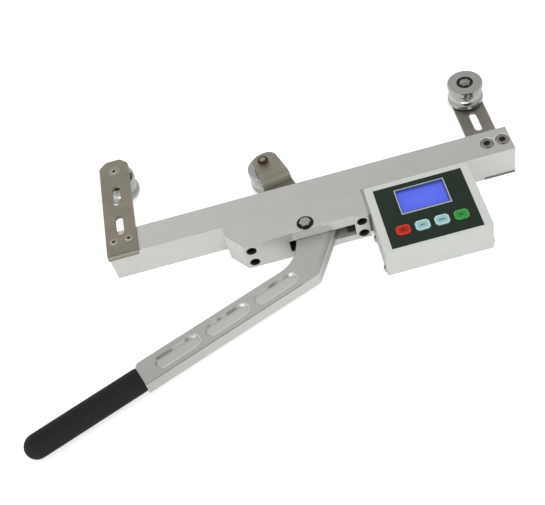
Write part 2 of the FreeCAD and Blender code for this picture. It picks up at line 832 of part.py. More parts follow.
def left_bracket():
    body = bracket(-1, front_face, beam_height, (left_near_slot, left_far_slot))
    body = body.fuse(bracket_lip()).removeSplitter()
    top = beam_height + bracket_thickness
    screw_hole = countersunk_hole(left_screw_diameter, bracket_thickness + 1)
    for x in bracket_screw_x(-1):
        body = body.cut(placed(screw_hole, Vector(x, 0, top)))
    wheel_hole = countersunk_hole(bearing_bore, bracket_thickness + 1)
    return body.cut(placed(wheel_hole, Vector(-outer_wheel_x, outer_wheel_y, top)))


def left_bracket_screws():
    top = beam_height + bracket_thickness
    screw = countersunk_screw(left_screw_diameter, left_screw_length)
    return [placed(screw, Vector(x, 0, top)) for x in bracket_screw_x(-1)]


def right_bracket():
    body = bracket(1, front_face, 0, (right_near_slot, right_far_slot))
    for x in bracket_screw_x(1):
        body = body.cut(rod(right_bolt_diameter + 2 * screw_clearance, -1, bracket_thickness + 1, x, 0))
    wheel_hole = countersunk_hole(bearing_bore, bracket_thickness + 1)
    return body.cut(placed(wheel_hole, Vector(outer_wheel_x, outer_wheel_y, 0), Vector(0, 0, -1)))


def right_bracket_bolts():
    seat = beam_height - right_bolt_recess_depth
    length = seat - right_bolt_tip_inset
    bolt = socket_screw(right_bolt_diameter, length, right_bolt_head, right_bolt_head_height)
    return [placed(bolt, Vector(x, 0, seat)) for x in bracket_screw_x(1)]


# Display case

def screen_frame_box(grow, z0, z1):
    """Block over the screen frame's outline, grown by a margin on every side."""
    x0 = case_left + screen_frame_left
    y1 = front_face - screen_frame_back
    return box(x0 - grow, x0 + screen_frame_width + grow, y1 - screen_frame_depth - grow, y1 + grow, z0, z1)


def key_block(index, grow, z0, z1):
    """Block over one key's outline, grown by a margin on every side."""
    x = case_left + first_key + index * key_pitch
    y = front_face - key_row_back
    half_x = key_width / 2 + grow
    half_y = key_depth / 2 + grow
    return cut_corner_box(x - half_x, x + half_x, y - half_y, y + half_y, z0, z1, key_corner_cut)


def case_screw_points():
    """Seats of the screws that hold the case's back wall on the beam."""
    y = front_face - case_wall
    return [Vector(case_left + x, y, z) for x in case_screw_places for z in case_screw_heights]


def side_screw_points():
    """Seats of the cover's screws as (point, outward direction)."""
    places = []
    for x, outward in ((case_left, Vector(-1, 0, 0)), (case_right, Vector(1, 0, 0))):
        for behind_front in side_screw_places:
            places.append((Vector(x, case_front + behind_front, side_screw_height), outward))
    return places


def panel_bounds():
    return (case_left + panel_inset_side, case_right - panel_inset_side,
            case_front + panel_inset_front, front_face - panel_inset_back)


def display_case():
    body = rounded_box(case_left, case_right, case_front, front_face, 0, beam_height, case_corner_radius)
    w = case_wall
    body = body.cut(box(case_left + w, case_right - w, case_front + w, front_face - w, -1, deck_under))
    body = body.cut(box(*panel_bounds(), deck, beam_height + 1))
    body = body.cut(screen_frame_box(-screen_frame_border, deck_under - 1, beam_height + 1))
    for i in range(4):
        body = body.cut(key_block(i, key_clearance, deck_under - 1, beam_height + 1))
    for point in case_screw_points():
        body = body.cut(placed(hole(case_screw_diameter, case_wall + 1), point, Vector(0, -1, 0)))
    for point, outward in side_screw_points():
        body = body.cut(placed(hole(side_screw_diameter, case_wall + 1), point, outward))
    return body


def front_panel():
    """Printed membrane in the case's shallow recess, open round the screen frame and the keys."""
    x0, x1, y0, y1 = panel_bounds()
    gap = panel_clearance
    body = box(x0 + gap, x1 - gap, y0 + gap, y1 - gap, deck, deck + panel_thickness)
    body = body.cut(screen_frame_box(gap, deck - 1, beam_height + 2))
    for i in range(4):
        body = body.cut(key_block(i, key_clearance, deck - 1, beam_height + 2))
    return body


def screen_frame():
    outer = screen_frame_box(0, deck, deck + panel_thickness + screen_frame_height)
    return outer.cut(screen_frame_box(-screen_frame_border, deck - 1, beam_height + 5))


def screen():
    """Display module: a flat body under the case's deck and the viewing block in its window."""
    body = screen_frame_box(screen_body_margin, board_top, deck_under)
    view = screen_frame_box(-screen_frame_border - 0.2, deck_under - 1, deck - screen_below_panel)
    return body.fuse(view).removeSplitter()


def key(index):
    top = deck + panel_thickness + key_above_panel
    flange_top = deck_under - key_clearance
    stem = key_block(index, 0, flange_top - key_flange_height, top)
    stem = stem.makeChamfer(key_bevel, [e for e in stem.Edges if e.BoundBox.ZMin > top - 0.01])
    flange = key_block(index, key_flange, flange_top - key_flange_height, flange_top)
    return stem.fuse(flange).removeSplitter()


def key_switches():
    """One small switch under each key, its plunger a key's travel and a little more below the key."""
    plunger_top = deck_under - key_clearance - key_flange_height - key_travel - key_clearance
    half = switch_size / 2
    y = front_face - key_row_back
    solids = []
    for i in range(4):
        x = case_left + first_key + i * key_pitch
        body = box(x - half, x + half, y - half, y + half, board_top, plunger_top - plunger_height)
        solids.append(body.fuse(rod(plunger_diameter, board_top, plunger_top, x, y)).removeSplitter())
    return solids


def pillar_points():
    x0, x1 = case_left + case_wall + pillar_inset, case_right - case_wall - pillar_inset
    y0, y1 = case_front + case_wall + pillar_inset, front_face - case_wall - pillar_inset
    return [Vector(x, y, board_top) for x in (x0, x1) for y in (y0, y1)]


def board_pillars():
    """Round pillars under the case's deck that the circuit board is screwed to."""
    bore = board_screw_diameter + 2 * screw_clearance
    pillar = tube(pillar_diameter, bore, 0, deck_under - board_top)
    return [placed(pillar, point) for point in pillar_points()]


def circuit_board():
    gap = case_wall + board_edge_gap
    body = box(case_left + gap, case_right - gap, case_front + gap, front_face - gap, board_base, board_top)
    for point in pillar_points():
        bore = board_screw_diameter + 2 * screw_clearance
        body = body.cut(rod(bore, board_base - 1, board_top + 1, point.x, point.y))
    return body


def board_screws():
    length = board_thickness + deck_under - board_top - 0.6
    screw = pan_screw(board_screw_diameter, length, board_screw_head, board_screw_head_height)
    down = Vector(0, 0, -1)
    return [placed(screw, Vector(point.x, point.y, board_base), down) for point in pillar_points()]


def battery():
    x = (case_left + case_right) / 2
    y = (case_front + front_face) / 2 - battery_forward
    return rounded_box(x - battery_length / 2, x + battery_length / 2, y - battery_depth / 2,
                       y + battery_depth / 2, cover_thickness, cover_thickness + battery_height,
                       battery_corner_radius)


def case_cover():
    """Bottom plate inside the walls, with four lugs that take the side screws."""
    gap = case_wall + cover_clearance
    x0, x1 = case_left + gap, case_right - gap
    body = box(x0, x1, case_front + gap, front_face - gap, 0, cover_thickness)
    for point, outward in side_screw_points():
        edge = point.x - outward.x * gap
        inner = edge - outward.x * lug_size
        y0, y1 = point.y - lug_size / 2, point.y + lug_size / 2
        y0 = max(y0, case_front + gap)
        lug = box(min(edge, inner), max(edge, inner), y0, y1, 0, cover_thickness + lug_height)
        body = body.fuse(lug)
    for point, outward in side_screw_points():
        body = body.cut(placed(hole(side_screw_diameter, case_wall + lug_size), point, outward))
    return body.removeSplitter()


def case_side_screws():
    screw = pan_screw(side_screw_diameter, case_wall + lug_size - 1, side_screw_head, side_screw_head_height)
    return [placed(screw, point, outward) for point, outward in side_screw_points()]


def case_mount_screws():
    screw = pan_screw(case_screw_diameter, case_screw_length, case_screw_head, case_screw_head_height)
    return [placed(screw, point, Vector(0, -1, 0)) for point in case_screw_points()]


# All nodes by name

def all_nodes():
    nodes = {
        "beam": [beam_shape()],
        "lever_housing": [lever_housing()],
        "housing_screws": housing_screws(),
        "stop_buffer": [stop_buffer()],
        "pivot_pin": [pivot_pin()],
        "pivot_nut": [pivot_nut()],
        "pivot_bushes": pivot_bushes(),
        "lever": [lever()],
        "grip": [grip()],
        "arm": [arm()],
        "arm_screws": arm_screws(),
        "left_bracket": [left_bracket()],
        "left_bracket_screws": left_bracket_screws(),
        "right_bracket": [right_bracket()],
        "right_bracket_bolts": right_bracket_bolts(),
        "display_case": [display_case()],
        "case_cover": [case_cover()],
        "case_side_screws": case_side_screws(),
        "case_mount_screws": case_mount_screws(),
        "front_panel": [front_panel()],
        "screen_frame": [screen_frame()],
        "screen": [screen()],
        "circuit_board": [circuit_board()],
        "board_pillars": board_pillars(),
        "board_screws": board_screws(),
        "key_switches": key_switches(),
        "battery": [battery()],
        "key_red": [key(0)],
        "key_left": [key(1)],
        "key_right": [key(2)],
        "key_green": [key(3)],
    }
    left_gap = beam_height - wheel_top
    right_gap = wheel_base - bracket_thickness
    mid_gap = beam_height - arm_thickness - wheel_top
    left_axis = Vector(-outer_wheel_x, outer_wheel_y, 0)
    right_axis = Vector(outer_wheel_x, outer_wheel_y, 0)
    nodes.update(wheel_set("left", left_axis, False, left_gap, outer_axle(left_gap), outer_axle_nut()))
    nodes.update(wheel_set("right", right_axis, True, right_gap, outer_axle(right_gap), outer_axle_nut()))
    nodes.update(wheel_set("mid", mid_wheel_axis, False, mid_gap, mid_axle(mid_gap), mid_axle_nut(mid_gap)))
    return nodes


def main():
    os.makedirs("parts", exist_ok=True)
    for name, solids in all_nodes().items():
        shape = solids[0] if len(solids) == 1 else Part.makeCompound(solids)
        if not shape.isValid():
            print("not valid:", name)
        shape.exportStep("parts/" + name + ".step")


main()
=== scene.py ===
import json
import math

import bmesh
import bpy
from mathutils import Euler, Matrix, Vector

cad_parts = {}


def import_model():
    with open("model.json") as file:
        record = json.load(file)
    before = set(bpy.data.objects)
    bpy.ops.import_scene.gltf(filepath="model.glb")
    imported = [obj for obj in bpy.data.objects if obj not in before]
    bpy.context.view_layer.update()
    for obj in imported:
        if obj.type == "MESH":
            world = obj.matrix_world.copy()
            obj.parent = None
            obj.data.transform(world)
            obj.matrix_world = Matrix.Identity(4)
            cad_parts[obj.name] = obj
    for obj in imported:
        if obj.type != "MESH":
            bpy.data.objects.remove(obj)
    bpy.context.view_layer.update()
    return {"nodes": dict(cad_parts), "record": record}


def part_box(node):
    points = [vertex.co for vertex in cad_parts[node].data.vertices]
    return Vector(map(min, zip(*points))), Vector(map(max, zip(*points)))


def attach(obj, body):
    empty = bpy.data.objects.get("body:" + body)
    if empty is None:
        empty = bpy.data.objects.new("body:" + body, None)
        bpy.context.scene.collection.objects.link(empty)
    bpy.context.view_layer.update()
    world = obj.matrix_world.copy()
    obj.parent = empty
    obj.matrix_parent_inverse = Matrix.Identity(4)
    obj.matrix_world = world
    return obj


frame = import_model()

# Cable tension meter: looks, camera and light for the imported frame.
# Everything is in metres, X along the beam, Y towards the wheels, Z up, as in the frame.
MM = 0.001
UP = Vector((0, 0, 1))

# Camera
CAMERA_PLACE = (-0.01284, -0.63412, 0.75159)
CAMERA_TURN_DEGREES = (37.226, 11.017, -10.583)
CAMERA_NEAREST = 0.01
LENS_MM = 62.25
SENSOR_MM = 36.0

# Light levels. The floor lifts to white for the eye and stays softer in reflections.
# The sky as metal mirrors it fades upwards and to the right, and is darker where the camera stands.
WORLD_FILL = 0.55
SKY_HORIZON = 1.0
SKY_ZENITH = 0.575
SKY_FADE_HEIGHTS = (0.15, 0.70)
SKY_LEFT = 1.15
SKY_RIGHT = 0.85
SKY_FADE_SIDE = 0.3
CAMERA_SHADE = 0.12
CAMERA_SHADE_COSINES = (0.86, 0.95)
FLOOR_COLOUR = (0.80, 0.80, 0.80)
FLOOR_WHITE = 0.55
FLOOR_IN_METAL = 0.08
FLOOR_HALF_SIZE = 4.0
SCREEN_GLOW = 0.72

# Lamps, aimed at the origin: name, place, size, power and whether metal mirrors them
LAMPS = (
    ("front_light", (-0.5, -1.7, 0.7), (1.8, 0.8), 9.0, True),
    ("top_light", (0.3, -0.5, 1.8), (1.2, 1.2), 13.0, False),
)

# The lever's outline from its pivot: the handle's angle to the beam and its centre line and half width,
# then the direction and distance of the neck's right side
HANDLE_ANGLE_DEGREES = 21.7
HANDLE_OFFSET = 39.1 * MM
HANDLE_HALF_WIDTH = 13.4 * MM
NECK_LEAN_DEGREES = 28.9
NECK_OFFSET = 27.4 * MM

# The housing's cut corner and mouth
CORNER_CUT = (16.2 * MM, 19.7 * MM)
MOUTH_LEFT = -30.2 * MM
MOUTH_RIGHT = 37.2 * MM
MOUTH_GAP = 0.5 * MM

# The pockets in the handle
FIRST_POCKET_START = 39.1 * MM
POCKET_COUNT = 3
POCKET_PITCH = 55.2 * MM
POCKET_LENGTH = 48.0 * MM
POCKET_WIDTH = 14.0 * MM
POCKET_DEPTH = 2.6 * MM
POCKET_WALL = 1.6 * MM

# Places where a metal is darker or lighter than the rest, most of them painted shade or painted light:
# their sizes, and shares of the base colour.
# A mask with an open side reaches FAR, and one over a face reaches a little past it.
FAR = 1.0
CLOSE = 0.1 * MM
FACE_REACH = 0.3 * MM
# Painted shade on the housing's lip over the neck, then a dark line along its edge
LIP_START = 6.0 * MM
LIP_FADE = 3.0 * MM
LIP_SHARE = 0.80
LIP_EDGE = 0.5 * MM
LIP_EDGE_STOP = 6.0 * MM
LIP_EDGE_SHARE = 0.72
MATT_METALLIC = 0.25
# Painted shade inside the housing's mouth, nearly black at its left end
MOUTH_LEFT_REACH = 1.0 * MM
MOUTH_RIGHT_REACH = 0.2 * MM
MOUTH_FRONT_INSET = 0.5 * MM
MOUTH_SHARE = 0.60
MOUTH_END_SHARE = 0.06
# Painted shadow of the stop buffer on the mouth's floor
BUFFER_SHADE_START = (1.0 * MM, 2.0 * MM)
BUFFER_SHADE_HEIGHT = 1.0 * MM
BUFFER_SHADE_FADE = 1.2 * MM
BUFFER_SHARE = 0.25
SIDE_DROP = 0.6 * MM
NECK_FADE = 6.0 * MM
# Steps of painted shade up the neck's side from its heel, and each one's share
NECK_SHARES = ((8.0 * MM, 0.86), (22.0 * MM, 0.84), (40.0 * MM, 0.84))
# Painted shade along the handle's lower edge and on its top towards the grip end, and painted light on its
# side
HANDLE_EDGE = 0.5 * MM
HANDLE_FADE = 0.2 * MM
HANDLE_EDGE_SHARE = 0.60
HANDLE_SIDE_SHARE = 1.07
GRIP_END_DROP = 0.4 * MM
GRIP_END_START = 190.0 * MM
GRIP_END_FADE = 90.0 * MM
GRIP_END_SHARE = 0.86
STROKES_PER_METRE = 55
POCKET_WALL_SHARE = 0.5
POCKET_FLOOR_SHARE = 1.18
# Painted light on the arm's joggle and painted shade at its root
JOGGLE_START = 5.5 * MM
JOGGLE_STOP = 4.5 * MM
JOGGLE_SHARE = 1.6
ARM_ROOT = 4.0 * MM
ARM_ROOT_SHARE = 0.72
ARM_FADE = 1.0 * MM
DARK_NUT_TOP = 2.0 * MM
BRACKET_EDGE_SHARE = 0.70
METAL_MOTTLE = 0.03
TURNED_RING_PITCH = 0.35 * MM
WINDOW_SHADE_WIDTH = 5.0 * MM

# Sizes of the small pieces, matched to the frame's. Pieces on a surface reach SINK into it.
SINK = 0.02 * MM
SHARP_DEGREES = 32
RING_SEGMENTS = 64
WHEELS = ("left_wheel", "right_wheel", "mid_wheel")
SEAL_INNER = 6.0 * MM
SEAL_OUTER = 8.7 * MM
SEAL_AND_SHADE_THICKNESS = 0.4 * MM
# The pivot's dark ring paints the shade deep in its recess
PIVOT_SHADE_INNER = 5.9 * MM
PIVOT_SHADE_OUTER = 8.5 * MM
PIVOT_SHADE_DEPTH = 4.6 * MM
THREAD_DIAMETER = 6.0 * MM
THREAD_PITCH = 1.0 * MM
THREAD_HALF_WIDTH = 0.45 * MM
THREAD_HEIGHT = 0.12 * MM
THREAD_ROOT = 0.03 * MM
THREAD_STEPS = 32

# Axle bolts with a bare tip: wheel, body and whether the tip points up
THREADED_TIPS = (("mid", "lever", True), ("right", "frame", True), ("left", "frame", False))

# Beads and rims, bright pieces that paint highlights: full while a point faces within reach of the bead's
# side, then fading
BEAD_STEPS = 12
BEAD_SECTIONS = 6
BEAD_FADE = 1.6
POCKET_BEAD_WIDTH = 1.1 * MM
POCKET_BEAD_HEIGHT = 0.35 * MM
POCKET_BEAD_FACING_DEGREES = -30
KEY_TOP = (13.8 * MM, 11.3 * MM)
KEY_CORNER_CUT = 2.4 * MM
KEY_CORNER_SHRINK = 0.586

# Section of a key's rim, from its outer foot to its inner one: inset and height
KEY_RIM_STEPS = (
    (0.10 * MM, -0.10 * MM),
    (0.35 * MM, 0.12 * MM),
    (1.15 * MM, 0.12 * MM),
    (1.50 * MM, -0.10 * MM),
)

# Colours of a key's middle, rim and bar, and each bar's width and depth
KEY_COLOURS = {
    "key_red": ((0.44, 0.020, 0.008), (0.62, 0.060, 0.040), (0.18, 0.006, 0.004)),
    "key_pale": ((0.32, 0.55, 0.56), (0.55, 0.76, 0.76), (0.08, 0.19, 0.20)),
    "key_green": ((0.034, 0.27, 0.046), (0.095, 0.34, 0.095), (0.008, 0.12, 0.015)),
}
KEY_MARKS = {
    "key_red": (3.4 * MM, 2.6 * MM),
    "key_left": (4.6 * MM, 1.5 * MM),
    "key_right": (6.4 * MM, 1.5 * MM),
    "key_green": (3.6 * MM, 2.2 * MM),
}
KEY_MARK_CORNER = 0.3
KEY_MARK_HEIGHT = 0.08 * MM

# Painted shade lining the screen's window, joint, screws, edges and the strip
SCREEN_BORDER = 1.8 * MM
WINDOW_SHADE_INSET = 0.12 * MM
WINDOW_SHADE_FLANGE = 0.8 * MM
WINDOW_SHADE_RISE = 0.06 * MM
WINDOW_SHADE_LIFT = 0.05 * MM
WINDOW_SHADE_CORNER = 0.3 * MM
JOINT_WIDTH = 0.5 * MM
JOINT_DEPTH = 0.5 * MM
JOINT_DROP = 0.03 * MM
JOINT_INSET = 0.6 * MM
JOINT_CORNER = 0.05 * MM
SCREW_HEAD_RADIUS = 5.0 * MM
BORE_RADIUS = 5.15 * MM
BORE_OVERLAP = 0.3 * MM
BORE_EDGE = 0.3 * MM
BOLT_HEAD_RADIUS = 6.5 * MM
BOLT_RECESS_RADIUS = 7.3 * MM
BOLT_RIM_HEIGHT = 0.25 * MM
BOLT_RIM_FACING_DEGREES = 120
SOCKET_WIDTH = 4.2 * MM
SOCKET_RIM_HEIGHT = 0.2 * MM
SOCKET_RIM_FACING_DEGREES = -100
RIM_WIDTH = 0.9 * MM
EDGE_BEAD_RADIUS = 0.45 * MM
EDGE_BEAD_INSET = 0.32 * MM
EDGE_BEAD_SIDES = 10
GAP_STRIP_DROP = 0.5 * MM
GAP_STRIP_HEIGHT = 28.0 * MM
GAP_STRIP_PALE_TOP = 2.5 * MM
GAP_STRIP_CORNER = 0.1 * MM
# Painted shade: the strip below its pale top takes this share of its colour
GAP_STRIP_SHARE = 0.4

# Nodes that look different from the rest of their slot
NODE_FINISHES = {
    "lever_housing": "housing_aluminium",
    "left_bracket": "plated_steel_olive",
    "left_axle_bolt": "plated_screw_steel",
    "left_bracket_screws": "plated_screw_steel",
    "housing_screws": "black_oxide",
    "right_bracket": "plated_steel_dark_edge",
    "arm": "plated_steel_soft",
    "mid_axle_nut": "domed_nut_steel",
    "mid_axle_bolt": "plated_steel",
    "right_axle_nut": "dull_nut_steel",
    "right_axle_bolt": "dull_nut_steel",
}


# Places

def middle_of(node):
    """Middle of a node's box."""
    low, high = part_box(node)
    return (low + high) / 2


def top_of(node):
    """Height of a node's highest point."""
    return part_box(node)[1].z


def at_height(place, z):
    """The point straight above or below a place at this height."""
    return Vector((place.x, place.y, z))


def turned_about_z(place, angle):
    """Place turned about the frame's Z axis, to match a material's turned coordinates."""
    return Euler((0, 0, angle)).to_matrix() @ place


def heel_place():
    """Corner at the top of the lever between the neck's right side and the handle's lower side."""
    lean = -math.radians(NECK_LEAN_DEGREES)
    rise = math.radians(90 + HANDLE_ANGLE_DEGREES)
    reach = -(HANDLE_OFFSET + HANDLE_HALF_WIDTH)
    spread = math.sin(rise - lean)
    x = (NECK_OFFSET * math.sin(rise) - reach * math.sin(lean)) / spread
    y = (reach * math.cos(lean) - NECK_OFFSET * math.cos(rise)) / spread
    return at_height(middle_of("pivot_pin") + Vector((x, y, 0)), top_of("lever"))


# Node helpers

finish_of = {}


def new_material(name):
    """Fresh material, kept in finish_of under its name."""
    material = bpy.data.materials.new(name)
    material.use_nodes = True
    finish_of[name] = material
    tree = material.node_tree
    return material, tree, tree.nodes["Principled BSDF"]


def add(tree, kind, inputs=None, **settings):
    """New node with its settings; an input takes a value or another node's socket."""
    node = tree.nodes.new(kind)
    for key, value in settings.items():
        setattr(node, key, value)
    for key, value in (inputs or {}).items():
        if isinstance(value, bpy.types.NodeSocket):
            tree.links.new(value, node.inputs[key])
        else:
            node.inputs[key].default_value = value
    return node


def join(tree, socket, target):
    """Link from an output to an input."""
    tree.links.new(socket, target)


def place_coordinates(tree, scale=(1, 1, 1), offset=(0, 0, 0), turn=0.0):
    """Coordinates fixed to the piece, in metres, turned about Z and then scaled."""
    source = add(tree, "ShaderNodeTexCoord").outputs["Object"]
    turned = add(tree, "ShaderNodeMapping", {"Vector": source, "Rotation": (0, 0, turn)}).outputs["Vector"]
    mapping = add(tree, "ShaderNodeMapping", {"Vector": turned, "Scale": scale, "Location": offset})
    return mapping.outputs["Vector"]


def noise(tree, vector, scale, detail, rough=0.55):
    """Value of a noise texture, around 0.5."""
    inputs = {"Vector": vector, "Scale": scale, "Detail": detail, "Roughness": rough}
    return add(tree, "ShaderNodeTexNoise", inputs).outputs["Fac"]


def ranged(tree, value, low, high, start=0.3, stop=0.7):
    """Value spread over low to high while it goes from start to stop."""
    inputs = {"Value": value, "From Min": start, "From Max": stop, "To Min": low, "To Max": high}
    return add(tree, "ShaderNodeMapRange", inputs).outputs["Result"]


def blended(tree, factor, first, second):
    """Mix of two colours. The Mix node has its factor at input 0 and its colours at inputs 6 and 7."""
    inputs = {0: factor}
    for index, value in ((6, first), (7, second)):
        inputs[index] = value if isinstance(value, bpy.types.NodeSocket) else (*value, 1.0)
    return add(tree, "ShaderNodeMix", inputs, data_type="RGBA").outputs[2]


def bumped(tree, height, depth, normal=None):
    """Normal for a height between 0 and 1 that stands for a depth in metres."""
    inputs = {"Height": height, "Strength": 1.0, "Distance": depth}
    if normal is not None:
        inputs["Normal"] = normal
    return add(tree, "ShaderNodeBump", inputs).outputs["Normal"]


def combined(tree, operation, first, second):
    """Result of a maths node."""
    return add(tree, "ShaderNodeMath", {0: first, 1: second}, operation=operation).outputs[0]


def length_of(tree, vector):
    """Length of a vector."""
    return add(tree, "ShaderNodeVectorMath", {0: vector}, operation="LENGTH").outputs["Value"]


def axes_of(tree, vector):
    """The X, Y and Z outputs of a vector."""
    return add(tree, "ShaderNodeSeparateXYZ", {"Vector": vector}).outputs


def darker(colour, share):
    """This share of a colour."""
    return tuple(channel * share for channel in colour)


def box_mask(tree, low, high, soft=0.3 * MM, turn=0.0):
    """1 inside a box of the piece's coordinates turned about Z, 0 past its soft edge."""
    axes = axes_of(tree, place_coordinates(tree, turn=turn))
    mask = 1.0
    for axis, start, stop in zip("XYZ", low, high):
        rising = ranged(tree, axes[axis], 0, 1, start - soft, start)
        falling = ranged(tree, axes[axis], 1, 0, stop, stop + soft)
        mask = combined(tree, "MULTIPLY", mask, combined(tree, "MULTIPLY", rising, falling))
    return mask


def shade_where(material, mask, share):
    """Multiply the base colour by this share where the mask is 1."""
    tree = material.node_tree
    target = tree.nodes["Principled BSDF"].inputs["Base Color"]
    inputs = {0: target.links[0].from_socket, "Scale": ranged(tree, mask, 1.0, share, 0, 1)}
    scaled = add(tree, "ShaderNodeVectorMath", inputs, operation="SCALE")
    join(tree, scaled.outputs["Vector"], target)


# Kinds of material

def milled_metal(name, colour, roughness, grain_scale=(30, 1400, 1400), grain_turn=0.0,
                 grain_depth=0.002 * MM):
    """Machined metal: long fine tool marks, faint clouds of wear and uneven gloss."""
    material, tree, shader = new_material(name)
    grain = noise(tree, place_coordinates(tree, grain_scale, turn=grain_turn), scale=1.0, detail=3.0)
    shifted = place_coordinates(tree, offset=(0.3, 0.1, 0.7))
    clouds = noise(tree, shifted, scale=45.0, detail=5.0, rough=0.6)
    streaks = noise(tree, place_coordinates(tree, (9, 60, 60), turn=grain_turn), scale=1.0, detail=2.0)
    base = blended(tree, ranged(tree, clouds, 0, 1), darker(colour, 1 - METAL_MOTTLE), colour)
    base = blended(tree, ranged(tree, streaks, 0, 0.5), base, darker(colour, 1 - 1.5 * METAL_MOTTLE))
    join(tree, base, shader.inputs["Base Color"])
    cloudy = ranged(tree, clouds, roughness - 0.03, roughness + 0.04)
    gloss = combined(tree, "ADD", ranged(tree, grain, -0.03, 0.03), cloudy)
    join(tree, gloss, shader.inputs["Roughness"])
    join(tree, bumped(tree, grain, grain_depth), shader.inputs["Normal"])
    shader.inputs["Metallic"].default_value = 1.0
    return material


def plated_metal(name, colour, second_colour, roughness, dark_edge_y=None):
    """Plated steel plate: rolled surface, slightly wavy, two close tints and small dull spots.
    Its edge in front of dark_edge_y is darker."""
    material, tree, shader = new_material(name)
    plain = place_coordinates(tree)
    waves = noise(tree, plain, scale=60.0, detail=3.0)
    tints = noise(tree, place_coordinates(tree, offset=(0.9, 0.4, 0.2)), scale=38.0, detail=2.0)
    brush = noise(tree, place_coordinates(tree, (900, 60, 900)), scale=1.0, detail=3.0)
    spots = noise(tree, plain, scale=700.0, detail=2.0)
    base = blended(tree, ranged(tree, tints, 0, 1, 0.35, 0.65), colour, second_colour)
    base = blended(tree, ranged(tree, waves, 0, 0.15), base, darker(colour, 0.4))
    base = blended(tree, ranged(tree, spots, 0, 0.30, 0.58, 0.8), base, darker(colour, 0.5))
    if dark_edge_y is not None:
        edge = combined(tree, "LESS_THAN", axes_of(tree, plain)["Y"], dark_edge_y)
        base = blended(tree, edge, base, darker(colour, BRACKET_EDGE_SHARE))
    join(tree, base, shader.inputs["Base Color"])
    join(tree, ranged(tree, waves, roughness - 0.04, roughness + 0.06), shader.inputs["Roughness"])
    wavy_normal = bumped(tree, waves, 0.03 * MM)
    join(tree, bumped(tree, brush, 0.002 * MM, wavy_normal), shader.inputs["Normal"])
    shader.inputs["Metallic"].default_value = 1.0
    return material


def domed_nut(name, colour, top_colour, dark_from):
    """Nut in the colour of the plate it stands on, and dark from this height up."""
    material, tree, shader = new_material(name)
    height = axes_of(tree, place_coordinates(tree))["Z"]
    upper = ranged(tree, height, 0, 1, dark_from - 0.5 * MM, dark_from + 0.5 * MM)
    spots = noise(tree, place_coordinates(tree), scale=500.0, detail=3.0)
    base = blended(tree, ranged(tree, spots, 0, 1), darker(colour, 0.85), colour)
    join(tree, blended(tree, upper, base, top_colour), shader.inputs["Base Color"])
    join(tree, ranged(tree, spots, 0.28, 0.40), shader.inputs["Roughness"])
    shader.inputs["Metallic"].default_value = 1.0


def turned_metal(name, colour, roughness, centre):
    """Turned and polished metal with fine rings about an upright axis through the centre."""
    material, tree, shader = new_material(name)
    vector = place_coordinates(tree, offset=(-centre.x, -centre.y, 0))
    axes = axes_of(tree, vector)
    flat = add(tree, "ShaderNodeCombineXYZ", {"X": axes["X"], "Y": axes["Y"]})
    radius = length_of(tree, flat.outputs[0])
    turned = add(tree, "ShaderNodeCombineXYZ", {"X": radius, "Y": axes["Z"]})
    rings = noise(tree, turned.outputs[0], scale=1.0 / TURNED_RING_PITCH, detail=2.0)
    clouds = noise(tree, vector, scale=120.0, detail=3.0)
    base = blended(tree, ranged(tree, rings, 0, 1), darker(colour, 0.85), colour)
    join(tree, base, shader.inputs["Base Color"])
    join(tree, ranged(tree, clouds, roughness - 0.03, roughness + 0.06), shader.inputs["Roughness"])
    join(tree, bumped(tree, rings, 0.004 * MM), shader.inputs["Normal"])
    shader.inputs["Metallic"].default_value = 1.0


def moulded(name, colour, roughness, texture_scale=2500.0, texture_depth=0.01 * MM, mottle=0.08,
            metallic=0.0, shine=0.5):
    """Plastic, rubber or paint with a fine surface texture and faint uneven colour."""
    material, tree, shader = new_material(name)
    plain = place_coordinates(tree)
    fine = noise(tree, plain, texture_scale, detail=2.0)
    clouds = noise(tree, plain, scale=40.0, detail=4.0)
    base = blended(tree, ranged(tree, clouds, 0, 1), darker(colour, 1 - mottle), colour)
    join(tree, base, shader.inputs["Base Color"])
    join(tree, ranged(tree, clouds, roughness - 0.03, roughness + 0.05), shader.inputs["Roughness"])
    join(tree, bumped(tree, fine, texture_depth), shader.inputs["Normal"])
    shader.inputs["Metallic"].default_value = metallic
    shader.inputs["Specular IOR Level"].default_value = shine
    return material


def lit_screen(name, box, colour, edge_colour, shade_colour):
    """Backlit display: bluest at its centre, with shade along the far and left edges of its window."""
    material, tree, shader = new_material(name)
    low, high = box
    middle = (low + high) / 2
    half = (high - low) / 2
    to_edge = (1 / half.x, 1 / half.y, 0)
    spot = place_coordinates(tree, to_edge, (-middle.x / half.x, -middle.y / half.y, 0))
    glow = blended(tree, ranged(tree, length_of(tree, spot), 0, 1, 0.1, 1.2), colour, edge_colour)
    axes = axes_of(tree, place_coordinates(tree))
    far = ranged(tree, axes["Y"], 0, 1, high.y - WINDOW_SHADE_WIDTH, high.y)
    left = ranged(tree, axes["X"], 1, 0, low.x, low.x + WINDOW_SHADE_WIDTH / 2)
    shade = combined(tree, "MAXIMUM", far, left)
    unlit = blended(tree, shade, darker(colour, 0.4), darker(shade_colour, 0.4))
    join(tree, blended(tree, shade, glow, shade_colour), shader.inputs["Emission Color"])
    join(tree, unlit, shader.inputs["Base Color"])
    shader.inputs["Emission Strength"].default_value = SCREEN_GLOW
    shader.inputs["Roughness"].default_value = 0.12


# Materials with shaded places

